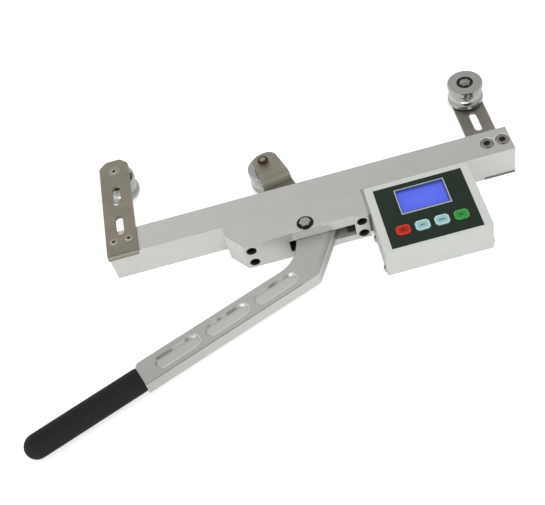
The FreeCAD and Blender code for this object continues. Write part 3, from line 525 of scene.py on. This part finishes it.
def housing_metal():
    """Housing: matt lip over the neck with painted shade and a dark line along its edge, and a matt mouth
    with painted shade, nearly black at its left end, with a painted shadow under the stop buffer.
    """
    material = milled_metal("housing_aluminium", (0.805, 0.80, 0.775), 0.30)
    tree = material.node_tree
    low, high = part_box("lever_housing")
    lever_low, lever_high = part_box("lever")
    slot_low = lever_low.z - MOUTH_GAP
    slot_high = lever_high.z + MOUTH_GAP
    # Painted shade on the lip over the neck
    lip_start = (MOUTH_LEFT + LIP_START, -FAR, slot_high)
    lip = box_mask(tree, lip_start, (MOUTH_RIGHT, low.y + FACE_REACH, high.z), LIP_FADE)
    shade_where(material, lip, LIP_SHARE)
    edge_start = (MOUTH_LEFT, -FAR, high.z - LIP_EDGE)
    edge = box_mask(tree, edge_start, (LIP_EDGE_STOP, low.y + LIP_EDGE, high.z))
    shade_where(material, edge, LIP_EDGE_SHARE)
    # Painted shade inside the mouth, nearly black at its left end
    mouth_start = (MOUTH_LEFT - MOUTH_LEFT_REACH, low.y + MOUTH_FRONT_INSET, slot_low - CLOSE)
    mouth = box_mask(tree, mouth_start, (MOUTH_RIGHT + MOUTH_RIGHT_REACH, high.y, slot_high + CLOSE), CLOSE)
    shade_where(material, mouth, MOUTH_SHARE)
    left_end = box_mask(tree, mouth_start, (0, high.y, slot_high + CLOSE), CLOSE)
    shade_where(material, left_end, MOUTH_END_SHARE)
    # Painted shadow of the stop buffer on the mouth's floor
    buffer_low, buffer_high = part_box("stop_buffer")
    inset_x, inset_y = BUFFER_SHADE_START
    shade_start = (buffer_low.x + inset_x, buffer_low.y + inset_y, slot_low - BUFFER_SHADE_HEIGHT)
    shade_stop = (buffer_high.x, high.y, slot_low + BUFFER_SHADE_HEIGHT)
    under_buffer = box_mask(tree, shade_start, shade_stop, BUFFER_SHADE_FADE)
    shade_where(material, under_buffer, BUFFER_SHARE)
    matt = combined(tree, "MAXIMUM", mouth, lip)
    metallic = ranged(tree, matt, 1.0, MATT_METALLIC, 0, 1)
    join(tree, metallic, tree.nodes["Principled BSDF"].inputs["Metallic"])


def shade_neck(material, top):
    """Painted shade on the right side of the neck, in steps up from its heel."""
    lean = math.radians(NECK_LEAN_DEGREES)
    beside = turned_about_z(middle_of("pivot_pin"), lean).x + NECK_OFFSET - SIDE_DROP
    heel = turned_about_z(heel_place(), lean)
    for reach, share in NECK_SHARES:
        start = (beside, heel.y + reach, -FAR)
        side = box_mask(material.node_tree, start, (FAR, FAR, top - SIDE_DROP), NECK_FADE, lean)
        shade_where(material, side, share)


def shade_handle(material, top):
    """Painted shade as a dark line along the handle's lower edge, painted light on its side below it, and
    painted shade on its top towards the grip end.
    """
    tree = material.node_tree
    turn = -math.radians(HANDLE_ANGLE_DEGREES)
    pivot = turned_about_z(middle_of("pivot_pin"), turn)
    lower_edge = pivot.y - HANDLE_OFFSET - HANDLE_HALF_WIDTH
    edge_stop = (pivot.x - FIRST_POCKET_START, lower_edge + HANDLE_EDGE, FAR)
    edge = box_mask(tree, (-FAR, -FAR, top - SIDE_DROP), edge_stop, HANDLE_FADE, turn)
    shade_where(material, edge, HANDLE_EDGE_SHARE)
    side_stop = (pivot.x, lower_edge + FACE_REACH, top - SIDE_DROP)
    side = box_mask(tree, (-FAR, -FAR, -FAR), side_stop, HANDLE_FADE, turn)
    shade_where(material, side, HANDLE_SIDE_SHARE)
    end_stop = (pivot.x - GRIP_END_START, FAR, FAR)
    grip_end = box_mask(tree, (-FAR, -FAR, top - GRIP_END_DROP), end_stop, GRIP_END_FADE, turn)
    shade_where(material, grip_end, GRIP_END_SHARE)


def shade_pockets(material, top):
    """Dark strokes on the far wall of each pocket, and a lighter floor."""
    tree = material.node_tree
    turn = -math.radians(HANDLE_ANGLE_DEGREES)
    pivot = turned_about_z(middle_of("pivot_pin"), turn)
    along = place_coordinates(tree, (STROKES_PER_METRE, 0, 0), turn=turn)
    strokes = ranged(tree, noise(tree, along, scale=1.0, detail=2.0), 0, 1, 0.46, 0.54)
    near = pivot.y - HANDLE_OFFSET - POCKET_WIDTH / 2
    far = near + POCKET_WIDTH
    bottom = top - POCKET_DEPTH
    for count in range(POCKET_COUNT):
        stop = pivot.x - FIRST_POCKET_START - count * POCKET_PITCH
        start = stop - POCKET_LENGTH
        wall = box_mask(tree, (start, far - POCKET_WALL, bottom), (stop, far, top - CLOSE), CLOSE, turn)
        shade_where(material, combined(tree, "MULTIPLY", wall, strokes), POCKET_WALL_SHARE)
        pocket_floor = box_mask(tree, (start, near, bottom), (stop, far, bottom + CLOSE), CLOSE, turn)
        shade_where(material, pocket_floor, POCKET_FLOOR_SHARE)


def lever_metal():
    """Lever: milled along the handle, with painted shade and light on its neck and handle, and darker
    strokes and lighter floors in its pockets.
    """
    material = milled_metal("lever_aluminium", (0.70, 0.70, 0.665), 0.34, (40, 1200, 1200),
                            -math.radians(HANDLE_ANGLE_DEGREES), 0.0015 * MM)
    top = top_of("lever")
    shade_neck(material, top)
    shade_handle(material, top)
    shade_pockets(material, top)


def arm_metal():
    """Arm: dull plate, with painted light where the joggle slopes and painted shade at its root."""
    material = plated_metal("plated_steel_soft", (0.49, 0.445, 0.38), (0.455, 0.44, 0.37), 0.62)
    tree = material.node_tree
    low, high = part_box("arm")
    joggle = box_mask(tree, (-FAR, -FAR, low.z + JOGGLE_START), (FAR, FAR, high.z - JOGGLE_STOP), ARM_FADE)
    shade_where(material, joggle, JOGGLE_SHARE)
    root = box_mask(tree, (-FAR, -FAR, -FAR), (FAR, FAR, low.z + ARM_ROOT), ARM_FADE)
    shade_where(material, root, ARM_ROOT_SHARE)


def gap_shade_finish():
    """Grey strip beside the display case, with painted shade below its pale top."""
    material = moulded("gap_strip", (0.34, 0.34, 0.325), 0.6, shine=0.2)
    pale_from = top_of("lever_housing") - GAP_STRIP_DROP - GAP_STRIP_PALE_TOP
    below = box_mask(material.node_tree, (-FAR, -FAR, -FAR), (FAR, FAR, pale_from))
    shade_where(material, below, GAP_STRIP_SHARE)


# Every material

def make_metals():
    """Aluminium, steel and bronze, and the finishes of single metal nodes."""
    milled_metal("machined_aluminium", (0.795, 0.79, 0.765), 0.30)
    housing_metal()
    lever_metal()
    plated_metal("plated_steel", (0.45, 0.39, 0.315), (0.42, 0.39, 0.32), 0.46)
    plated_metal("plated_steel_olive", (0.405, 0.365, 0.285), (0.37, 0.355, 0.285), 0.50)
    arm_metal()
    bracket_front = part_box("right_bracket")[0].y + CLOSE
    plated_metal("plated_steel_dark_edge", (0.40, 0.37, 0.32), (0.37, 0.36, 0.315), 0.46, bracket_front)
    milled_metal("plated_screw_steel", (0.44, 0.41, 0.34), 0.22, (500, 500, 500), grain_depth=0.02 * MM)
    dark_from = top_of("mid_axle_nut") - DARK_NUT_TOP
    domed_nut("domed_nut_steel", (0.42, 0.38, 0.31), (0.07, 0.062, 0.045), dark_from)
    milled_metal("bearing_steel", (0.45, 0.45, 0.45), 0.25)
    milled_metal("fastener_steel", (0.55, 0.54, 0.50), 0.25, (300, 300, 300))
    # Brighter metal for the beads, rims and rounded edges: their painted highlights
    milled_metal("highlight_metal", (0.92, 0.92, 0.89), 0.30, (400, 400, 400))
    milled_metal("dark_screw_steel", (0.40, 0.375, 0.36), 0.24, (400, 400, 400), grain_depth=0.01 * MM)
    milled_metal("dull_nut_steel", (0.44, 0.45, 0.40), 0.40, (300, 300, 300))
    milled_metal("bronze", (0.60, 0.42, 0.20), 0.45, (600, 600, 600))
    for wheel in WHEELS:
        turned_metal(wheel + "_steel", (0.60, 0.605, 0.58), 0.14, middle_of(wheel))


def make_plastics():
    """Rubber, plastic, paint and the screen."""
    moulded("black_oxide", (0.008, 0.008, 0.008), 0.5, 1500.0, 0.004 * MM, 0.2, shine=0.15)
    moulded("black_rubber", (0.010, 0.010, 0.010), 0.6, shine=0.2)
    # Dark rubber of the bearings' seals, also used for the pieces that paint shade in the pivot's recess
    # and the screw holes
    moulded("dark_seal_and_shade", (0.040, 0.042, 0.038), 0.6, shine=0.2)
    moulded("grip_sleeve", (0.0135, 0.0135, 0.0135), 0.62, 1800.0, 0.02 * MM, 0.12, shine=0.2)
    moulded("case_paint", (0.68, 0.70, 0.67), 0.42, 2200.0, 0.006 * MM, 0.03, metallic=0.15)
    gap_shade_finish()
    moulded("panel_film", (0.013, 0.025, 0.016), 0.38, 3000.0, 0.004 * MM, 0.10, shine=0.25)
    moulded("screen_border", (0.48, 0.52, 0.60), 0.45, 2500.0, 0.004 * MM, 0.04)
    moulded("window_shade", (0.065, 0.085, 0.26), 0.5, 2500.0, 0.004 * MM, 0.04, shine=0.2)
    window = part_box("screen_frame")
    lit_screen("screen_glass", window, (0.095, 0.14, 0.80), (0.070, 0.10, 0.62), (0.05, 0.07, 0.30))
    moulded("board_green", (0.02, 0.12, 0.05), 0.3, 900.0)
    moulded("black_plastic", (0.02, 0.02, 0.02), 0.45)
    moulded("battery_wrap", (0.03, 0.09, 0.25), 0.4)
    for key, colours in KEY_COLOURS.items():
        for part, colour in zip(("", "_rim", "_mark"), colours):
            moulded(key + part, colour, 0.35, 3000.0, 0.003 * MM, 0.05, shine=0.25)


def dress_nodes():
    """Each CAD node takes the material of its slot, or its own where it looks different."""
    for subpart in frame["record"]["subparts"]:
        name = subpart["node"]
        finish = NODE_FINISHES.get(name, subpart["material_slot"])
        if name in WHEELS:
            finish = name + "_steel"
        for slot in frame["nodes"][name].material_slots:
            slot.material = finish_of[finish]


# Mesh helpers

def piece(name, body, form, finish, centre=(0, 0, 0)):
    """Object made from a bmesh about its centre; it moves with the body."""
    bmesh.ops.translate(form, verts=form.verts, vec=centre)
    bmesh.ops.recalc_face_normals(form, faces=form.faces)
    mesh = bpy.data.meshes.new(name)
    form.to_mesh(mesh)
    form.free()
    mesh.materials.append(finish_of[finish])
    for face in mesh.polygons:
        face.use_smooth = True
    mesh.set_sharp_from_angle(angle=math.radians(SHARP_DEGREES))
    obj = bpy.data.objects.new(name, mesh)
    bpy.context.scene.collection.objects.link(obj)
    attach(obj, body)


def rotate(form, turn):
    """Turn a bmesh about the origin."""
    bmesh.ops.rotate(form, verts=form.verts, cent=(0, 0, 0), matrix=Euler(turn).to_matrix())


def bridged(form, here, there):
    """Faces between two closed loops with the same number of points."""
    for index in range(len(here)):
        following = (index + 1) % len(here)
        form.faces.new((here[index], here[following], there[following], there[index]))


def ring_form(profile):
    """Closed profile of (radius, height) points turned about Z."""
    form = bmesh.new()
    loops = []
    for step in range(RING_SEGMENTS):
        angle = math.tau * step / RING_SEGMENTS
        loops.append([form.verts.new((r * math.cos(angle), r * math.sin(angle), z)) for r, z in profile])
    for step in range(RING_SEGMENTS):
        bridged(form, loops[step - 1], loops[step])
    return form


def flat_ring(inner, outer, low, high):
    """Profile of a washer."""
    return [(inner, low), (outer, low), (outer, high), (inner, high)]


def stepped_form(rows, closed_below=False, closed_above=False):
    """Skin through rectangles with cut corners, each one (width, depth, corner cut, height)."""
    form = bmesh.new()
    loops = []
    for width, depth, cut, z in rows:
        x, y = width / 2, depth / 2
        corners = [(x, y - cut), (x - cut, y), (cut - x, y), (-x, y - cut),
                   (-x, cut - y), (cut - x, -y), (x - cut, -y), (x, cut - y)]
        loops.append([form.verts.new((px, py, z)) for px, py in corners])
    for here, there in zip(loops, loops[1:]):
        bridged(form, here, there)
    if closed_below:
        form.faces.new(loops[0])
    if closed_above:
        form.faces.new(loops[-1])
    return form


def bead_form(length, width, bead_width, bead_height, facing_degrees):
    """Low half-round bead round an obround opening, full on one side and fading to nothing behind."""
    form = bmesh.new()
    loops = []
    straight = (length - width) / 2
    facing = math.radians(facing_degrees)
    for index in range(2 * BEAD_STEPS + 2):
        end = 1 if index <= BEAD_STEPS else -1
        angle = math.pi * (index - (0 if end > 0 else 1)) / BEAD_STEPS - math.pi / 2
        rise = bead_height * max(0.0, min(1.0, BEAD_FADE * math.cos(angle - facing)))
        loop = []
        for section in range(BEAD_SECTIONS + 1):
            turn = math.pi * section / BEAD_SECTIONS
            radius = width / 2 + bead_width / 2 * (1 - math.cos(turn))
            x = end * straight + radius * math.cos(angle)
            loop.append(form.verts.new((x, radius * math.sin(angle), rise * math.sin(turn) - SINK)))
        loops.append(loop)
    for index in range(len(loops)):
        here, there = loops[index - 1], loops[index]
        for section in range(BEAD_SECTIONS):
            form.faces.new((here[section], there[section], there[section + 1], here[section + 1]))
    return form


def rod_form(start, end, radius):
    """Thin rod between two points of the same height, closed at both ends."""
    form = bmesh.new()
    side = (end - start).normalized().cross(UP)
    angles = [math.tau * step / EDGE_BEAD_SIDES for step in range(EDGE_BEAD_SIDES)]
    spokes = [radius * (math.cos(angle) * side + math.sin(angle) * UP) for angle in angles]
    here, there = [[form.verts.new(place + spoke) for spoke in spokes] for place in (start, end)]
    bridged(form, here, there)
    form.faces.new(here)
    form.faces.new(there)
    return form


def thread_form(length):
    """Helical ridge with a sharp crest round a bolt's tip."""
    form = bmesh.new()
    core = THREAD_DIAMETER / 2 - THREAD_ROOT
    count = int((length - 2 * THREAD_HALF_WIDTH) / THREAD_PITCH * THREAD_STEPS)
    rows = []
    for index in range(count + 1):
        angle = math.tau * index / THREAD_STEPS
        z = THREAD_HALF_WIDTH + THREAD_PITCH * index / THREAD_STEPS
        run_out = min(1.0, 4 * index / THREAD_STEPS, 4 * (count - index) / THREAD_STEPS)
        crest = THREAD_DIAMETER / 2 + THREAD_HEIGHT * run_out
        section = ((core, z - THREAD_HALF_WIDTH), (crest, z), (core, z + THREAD_HALF_WIDTH))
        rows.append([form.verts.new((r * math.cos(angle), r * math.sin(angle), h)) for r, h in section])
    for here, there in zip(rows, rows[1:]):
        for index in range(2):
            form.faces.new((here[index], there[index], there[index + 1], here[index + 1]))
    return form


# Pieces

def bearing_seals():
    """Black seals between the rings of each wheel's two bearings."""
    for wheel in WHEELS:
        bearings = wheel.replace("wheel", "outer_rings")
        low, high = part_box(bearings)
        for label, z in (("upper", high.z), ("lower", low.z - SEAL_AND_SHADE_THICKNESS)):
            form = ring_form(flat_ring(SEAL_INNER, SEAL_OUTER, 0, SEAL_AND_SHADE_THICKNESS))
            piece(f"{wheel}_{label}_seal", wheel, form, "dark_seal_and_shade", at_height(middle_of(bearings), z))


def pivot_shade_ring():
    """Dark ring round the pivot's head, deep in its recess: a piece that paints the shade there."""
    form = ring_form(flat_ring(PIVOT_SHADE_INNER, PIVOT_SHADE_OUTER, 0, SEAL_AND_SHADE_THICKNESS))
    place = at_height(middle_of("pivot_pin"), top_of("lever_housing") - PIVOT_SHADE_DEPTH)
    piece("pivot_shade_ring", "frame", form, "dark_seal_and_shade", place)


def bolt_threads():
    """Threads on the bolt tips that show past their nuts."""
    for side, body, upward in THREADED_TIPS:
        bolt = side + "_axle_bolt"
        bolt_low, bolt_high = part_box(bolt)
        nut_low, nut_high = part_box(side + "_axle_nut")
        start, stop = (nut_high.z, bolt_high.z) if upward else (bolt_low.z, nut_low.z)
        form = thread_form(stop - start)
        piece(bolt + "_thread", body, form, "fastener_steel", at_height(middle_of(bolt), start))


def pocket_rims():
    """Bright bead round the mouth of each pocket in the handle, fading away on one side: a painted
    highlight.
    """
    angle = math.radians(HANDLE_ANGLE_DEGREES)
    along = Vector((-math.cos(angle), -math.sin(angle), 0))
    across = Vector((-math.sin(angle), math.cos(angle), 0))
    facing = POCKET_BEAD_FACING_DEGREES
    for count in range(POCKET_COUNT):
        reach = FIRST_POCKET_START + count * POCKET_PITCH + POCKET_LENGTH / 2
        centre = middle_of("pivot_pin") + along * reach - across * HANDLE_OFFSET
        form = bead_form(POCKET_LENGTH, POCKET_WIDTH, POCKET_BEAD_WIDTH, POCKET_BEAD_HEIGHT, facing)
        rotate(form, (0, 0, angle))
        centre = at_height(centre, top_of("lever"))
        piece(f"pocket_rim_{count + 1}", "lever", form, "highlight_metal", centre)


def key_finish(key):
    """Name of a key's finish; the two middle keys share one."""
    return key if key in KEY_COLOURS else "key_pale"


def key_rims():
    """Raised, lighter rim round the top of each key."""
    width, depth = KEY_TOP
    for key in KEY_MARKS:
        rows = []
        for inset, lift in KEY_RIM_STEPS:
            cut = KEY_CORNER_CUT - KEY_CORNER_SHRINK * inset
            rows.append((width - 2 * inset, depth - 2 * inset, cut, lift))
        centre = at_height(middle_of(key), top_of(key))
        piece(key + "_rim", key, stepped_form(rows), key_finish(key) + "_rim", centre)


def key_marks():
    """Plain raised bar in the middle of each key, in place of lettering."""
    for key, (width, depth) in KEY_MARKS.items():
        cut = depth * KEY_MARK_CORNER
        rows = [(width, depth, cut, z) for z in (-SINK, KEY_MARK_HEIGHT)]
        form = stepped_form(rows, closed_above=True)
        piece(key + "_mark", key, form, key_finish(key) + "_mark", at_height(middle_of(key), top_of(key)))


def window_shade():
    """Dark lining inside the screen's frame, with a narrow flange on top of it: a piece that paints the
    shade on the frame's inner walls.
    """
    low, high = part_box("screen_frame")
    width = high.x - low.x - 2 * SCREEN_BORDER
    depth = high.y - low.y - 2 * SCREEN_BORDER
    bottom = top_of("screen") - high.z + WINDOW_SHADE_LIFT
    steps = (
        (-WINDOW_SHADE_INSET, bottom),
        (-WINDOW_SHADE_INSET, WINDOW_SHADE_RISE),
        (WINDOW_SHADE_FLANGE, WINDOW_SHADE_RISE),
        (WINDOW_SHADE_FLANGE, -SINK),
    )
    rows = [(width + 2 * grow, depth + 2 * grow, WINDOW_SHADE_CORNER, z) for grow, z in steps]
    place = at_height(middle_of("screen_frame"), high.z)
    piece("window_shade", "frame", stepped_form(rows), "window_shade", place)


def joint_bead():
    """Thin filler flush with the top in the groove between beam and housing."""
    low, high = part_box("lever_housing")
    length = high.x - low.x - 2 * JOINT_INSET
    rows = [(length, JOINT_WIDTH, JOINT_CORNER, z) for z in (-JOINT_DEPTH, -JOINT_DROP)]
    form = stepped_form(rows, closed_below=True, closed_above=True)
    piece("joint_bead", "frame", form, "machined_aluminium", ((low.x + high.x) / 2, high.y, high.z))


def bore_rings():
    """Dark wall at the mouth of each screw hole in the housing's front: a piece that paints the shade in
    the hole.
    """
    low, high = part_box("housing_screws")
    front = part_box("lever_housing")[0].y
    reach = SCREW_HEAD_RADIUS
    for x in (low.x + reach, high.x - reach):
        for z in (low.z + reach, high.z - reach):
            form = ring_form(flat_ring(reach - BORE_OVERLAP, BORE_RADIUS, front - low.y, -BORE_EDGE))
            rotate(form, (math.radians(90), 0, 0))
            label = f"{round(x / MM)}_{round(z / MM)}".replace("-", "m")
            piece("bore_ring_" + label, "frame", form, "dark_seal_and_shade", (x, front, z))


def round_rim(name, width, height, facing_degrees, place):
    """Bright bead on one side of a round opening of this width: a painted highlight."""
    form = bead_form(width, width, RIM_WIDTH, height, facing_degrees)
    piece(name, "frame", form, "highlight_metal", place)


def bolt_rims():
    """Bright bead on one side of the recess of each bolt in the beam's right end: a painted highlight."""
    low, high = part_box("right_bracket_bolts")
    row = (low.y + high.y) / 2
    width = 2 * BOLT_RECESS_RADIUS
    for label, x in (("left", low.x + BOLT_HEAD_RADIUS), ("right", high.x - BOLT_HEAD_RADIUS)):
        place = (x, row, top_of("beam"))
        round_rim(f"bolt_rim_{label}", width, BOLT_RIM_HEIGHT, BOLT_RIM_FACING_DEGREES, place)


def socket_rims():
    """Bright bead on one side of each screw's socket in the left bracket: a painted glint."""
    low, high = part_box("left_bracket_screws")
    reach = (high.y - low.y) / 2
    places = (
        ("left", (low.x + reach, low.y + reach, high.z)),
        ("right", (high.x - reach, low.y + reach, high.z)),
        ("axle", at_height(middle_of("left_axle_bolt"), top_of("left_axle_bolt"))),
    )
    for label, place in places:
        round_rim(f"socket_rim_{label}", SOCKET_WIDTH, SOCKET_RIM_HEIGHT, SOCKET_RIM_FACING_DEGREES, place)


def edge_beads():
    """Rounded edges in a brighter metal than their parts, partly real rounding and partly painted
    highlight: the housing's cut corner and left edge, the beam's right end, the neck.
    """
    low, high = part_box("lever_housing")
    cut_start = Vector((low.x, low.y + CORNER_CUT[1], high.z))
    cut_end = Vector((low.x + CORNER_CUT[0], low.y, high.z))
    beam_low, beam_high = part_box("beam")
    beam_start = Vector((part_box("display_case")[1].x, beam_low.y, beam_high.z))
    beam_end = Vector((beam_high.x, beam_low.y, beam_high.z))
    heel = heel_place()
    lean = math.radians(NECK_LEAN_DEGREES)
    rise = Vector((math.sin(lean), math.cos(lean), 0))
    under_lip = heel + rise * ((low.y - heel.y) / rise.y)
    edges = (
        ("housing_corner_edge", "frame", cut_start, cut_end, 1),
        ("housing_left_edge", "frame", Vector((low.x, high.y, high.z)), cut_start, 1),
        ("beam_front_edge", "frame", beam_start, beam_end, 1),
        ("neck_edge", "lever", heel, under_lip, -1),
    )
    for name, body, start, end, side in edges:
        along = (end - start).normalized()
        inset = (UP.cross(along) * side - UP) * EDGE_BEAD_INSET
        ends = along * EDGE_BEAD_RADIUS
        form = rod_form(start + inset + ends, end + inset - ends, EDGE_BEAD_RADIUS)
        piece(name, body, form, "highlight_metal")


def gap_strip():
    """Grey strip that fills the gap between the housing and the display case just below their tops, a piece
    that paints the shaded gap.
    """
    low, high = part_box("lever_housing")
    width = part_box("display_case")[0].x - high.x
    top = high.z - GAP_STRIP_DROP
    rows = [(width, high.y - low.y, GAP_STRIP_CORNER, z) for z in (top - GAP_STRIP_HEIGHT, top)]
    form = stepped_form(rows, closed_below=True, closed_above=True)
    piece("gap_strip", "frame", form, "gap_strip", (high.x + width / 2, (low.y + high.y) / 2, 0))


# Floor, world, lamps and camera

def background_rays(tree):
    """Two outputs: 1 for camera rays, and 1 for glossy and transmission rays."""
    rays = add(tree, "ShaderNodeLightPath")
    mirrored = combined(tree, "MAXIMUM", rays.outputs["Is Glossy Ray"], rays.outputs["Is Transmission Ray"])
    return rays.outputs["Is Camera Ray"], mirrored


def floor():
    """Pale floor that keeps the object's shadow."""
    mesh = bpy.data.meshes.new("floor")
    form = bmesh.new()
    corners = ((-1, -1), (1, -1), (1, 1), (-1, 1))
    form.faces.new([form.verts.new((x * FLOOR_HALF_SIZE, y * FLOOR_HALF_SIZE, 0)) for x, y in corners])
    form.to_mesh(mesh)
    form.free()
    obj = bpy.data.objects.new("floor", mesh)
    obj.location.z = -SINK
    bpy.context.scene.collection.objects.link(obj)
    material, tree, shader = new_material("floor_white")
    shader.inputs["Base Color"].default_value = (*FLOOR_COLOUR, 1)
    shader.inputs["Roughness"].default_value = 0.9
    shader.inputs["Specular IOR Level"].default_value = 0.0
    shader.inputs["Emission Color"].default_value = (1, 1, 1, 1)
    direct, mirrored = background_rays(tree)
    seen = combined(tree, "MULTIPLY", direct, FLOOR_WHITE)
    in_metal = combined(tree, "MULTIPLY", mirrored, FLOOR_IN_METAL)
    join(tree, combined(tree, "ADD", seen, in_metal), shader.inputs["Emission Strength"])
    obj.data.materials.append(material)


def mirrored_sky(tree):
    """Brightness of the surroundings by direction, as metal and glass show them."""
    direction = add(tree, "ShaderNodeTexCoord").outputs["Generated"]
    axes = axes_of(tree, direction)
    by_height = ranged(tree, axes["Z"], SKY_HORIZON, SKY_ZENITH, *SKY_FADE_HEIGHTS)
    by_side = ranged(tree, axes["X"], SKY_LEFT, SKY_RIGHT, -SKY_FADE_SIDE, SKY_FADE_SIDE)
    aims = {0: direction, 1: Vector(CAMERA_PLACE).normalized()}
    towards_camera = add(tree, "ShaderNodeVectorMath", aims, operation="DOT_PRODUCT").outputs["Value"]
    shade = ranged(tree, towards_camera, 1.0, CAMERA_SHADE, *CAMERA_SHADE_COSINES)
    return combined(tree, "MULTIPLY", combined(tree, "MULTIPLY", by_height, by_side), shade)


def white_light(tree, level):
    """White surroundings of this strength."""
    background = add(tree, "ShaderNodeBackground", {"Color": (1, 1, 1, 1), "Strength": level})
    return background.outputs[0]


def world():
    """White for the eye, the shaped sky in reflections, and an even fill for all other rays."""
    scene_world = bpy.data.worlds.new("studio")
    bpy.context.scene.world = scene_world
    scene_world.use_nodes = True
    tree = scene_world.node_tree
    tree.nodes.clear()
    fill = white_light(tree, WORLD_FILL)
    sky = white_light(tree, mirrored_sky(tree))
    white = white_light(tree, 1.0)
    direct, mirrored = background_rays(tree)
    around = add(tree, "ShaderNodeMixShader", {0: mirrored, 1: fill, 2: sky})
    mix = add(tree, "ShaderNodeMixShader", {0: direct, 1: around.outputs[0], 2: white})
    output = add(tree, "ShaderNodeOutputWorld")
    join(tree, mix.outputs[0], output.inputs["Surface"])


def softbox(name, place, size, power, mirrored):
    """Rectangular lamp aimed at the origin."""
    lamp = bpy.data.lights.new(name, "AREA")
    lamp.shape = "RECTANGLE"
    lamp.size, lamp.size_y = size
    lamp.energy = power
    obj = bpy.data.objects.new(name, lamp)
    obj.location = place
    obj.rotation_euler = (-Vector(place)).to_track_quat("-Z", "Y").to_euler()
    obj.visible_camera = False
    obj.visible_glossy = mirrored
    bpy.context.scene.collection.objects.link(obj)


def camera():
    """Camera at the photograph's viewing angle."""
    view = bpy.data.cameras.new("camera")
    view.lens = LENS_MM
    view.sensor_width = SENSOR_MM
    view.clip_start = CAMERA_NEAREST
    obj = bpy.data.objects.new("camera", view)
    obj.location = CAMERA_PLACE
    obj.rotation_euler = Euler([math.radians(angle) for angle in CAMERA_TURN_DEGREES], "XYZ")
    bpy.context.scene.collection.objects.link(obj)
    bpy.context.scene.camera = obj


make_metals()
make_plastics()
dress_nodes()
bearing_seals()
pivot_shade_ring()
bolt_threads()
pocket_rims()
key_rims()
key_marks()
window_shade()
joint_bead()
bore_rings()
bolt_rims()
socket_rims()
edge_beads()
gap_strip()
floor()
world()
for lamp in LAMPS:
    softbox(*lamp)
camera()
bpy.context.scene.view_settings.view_transform = "Standard"
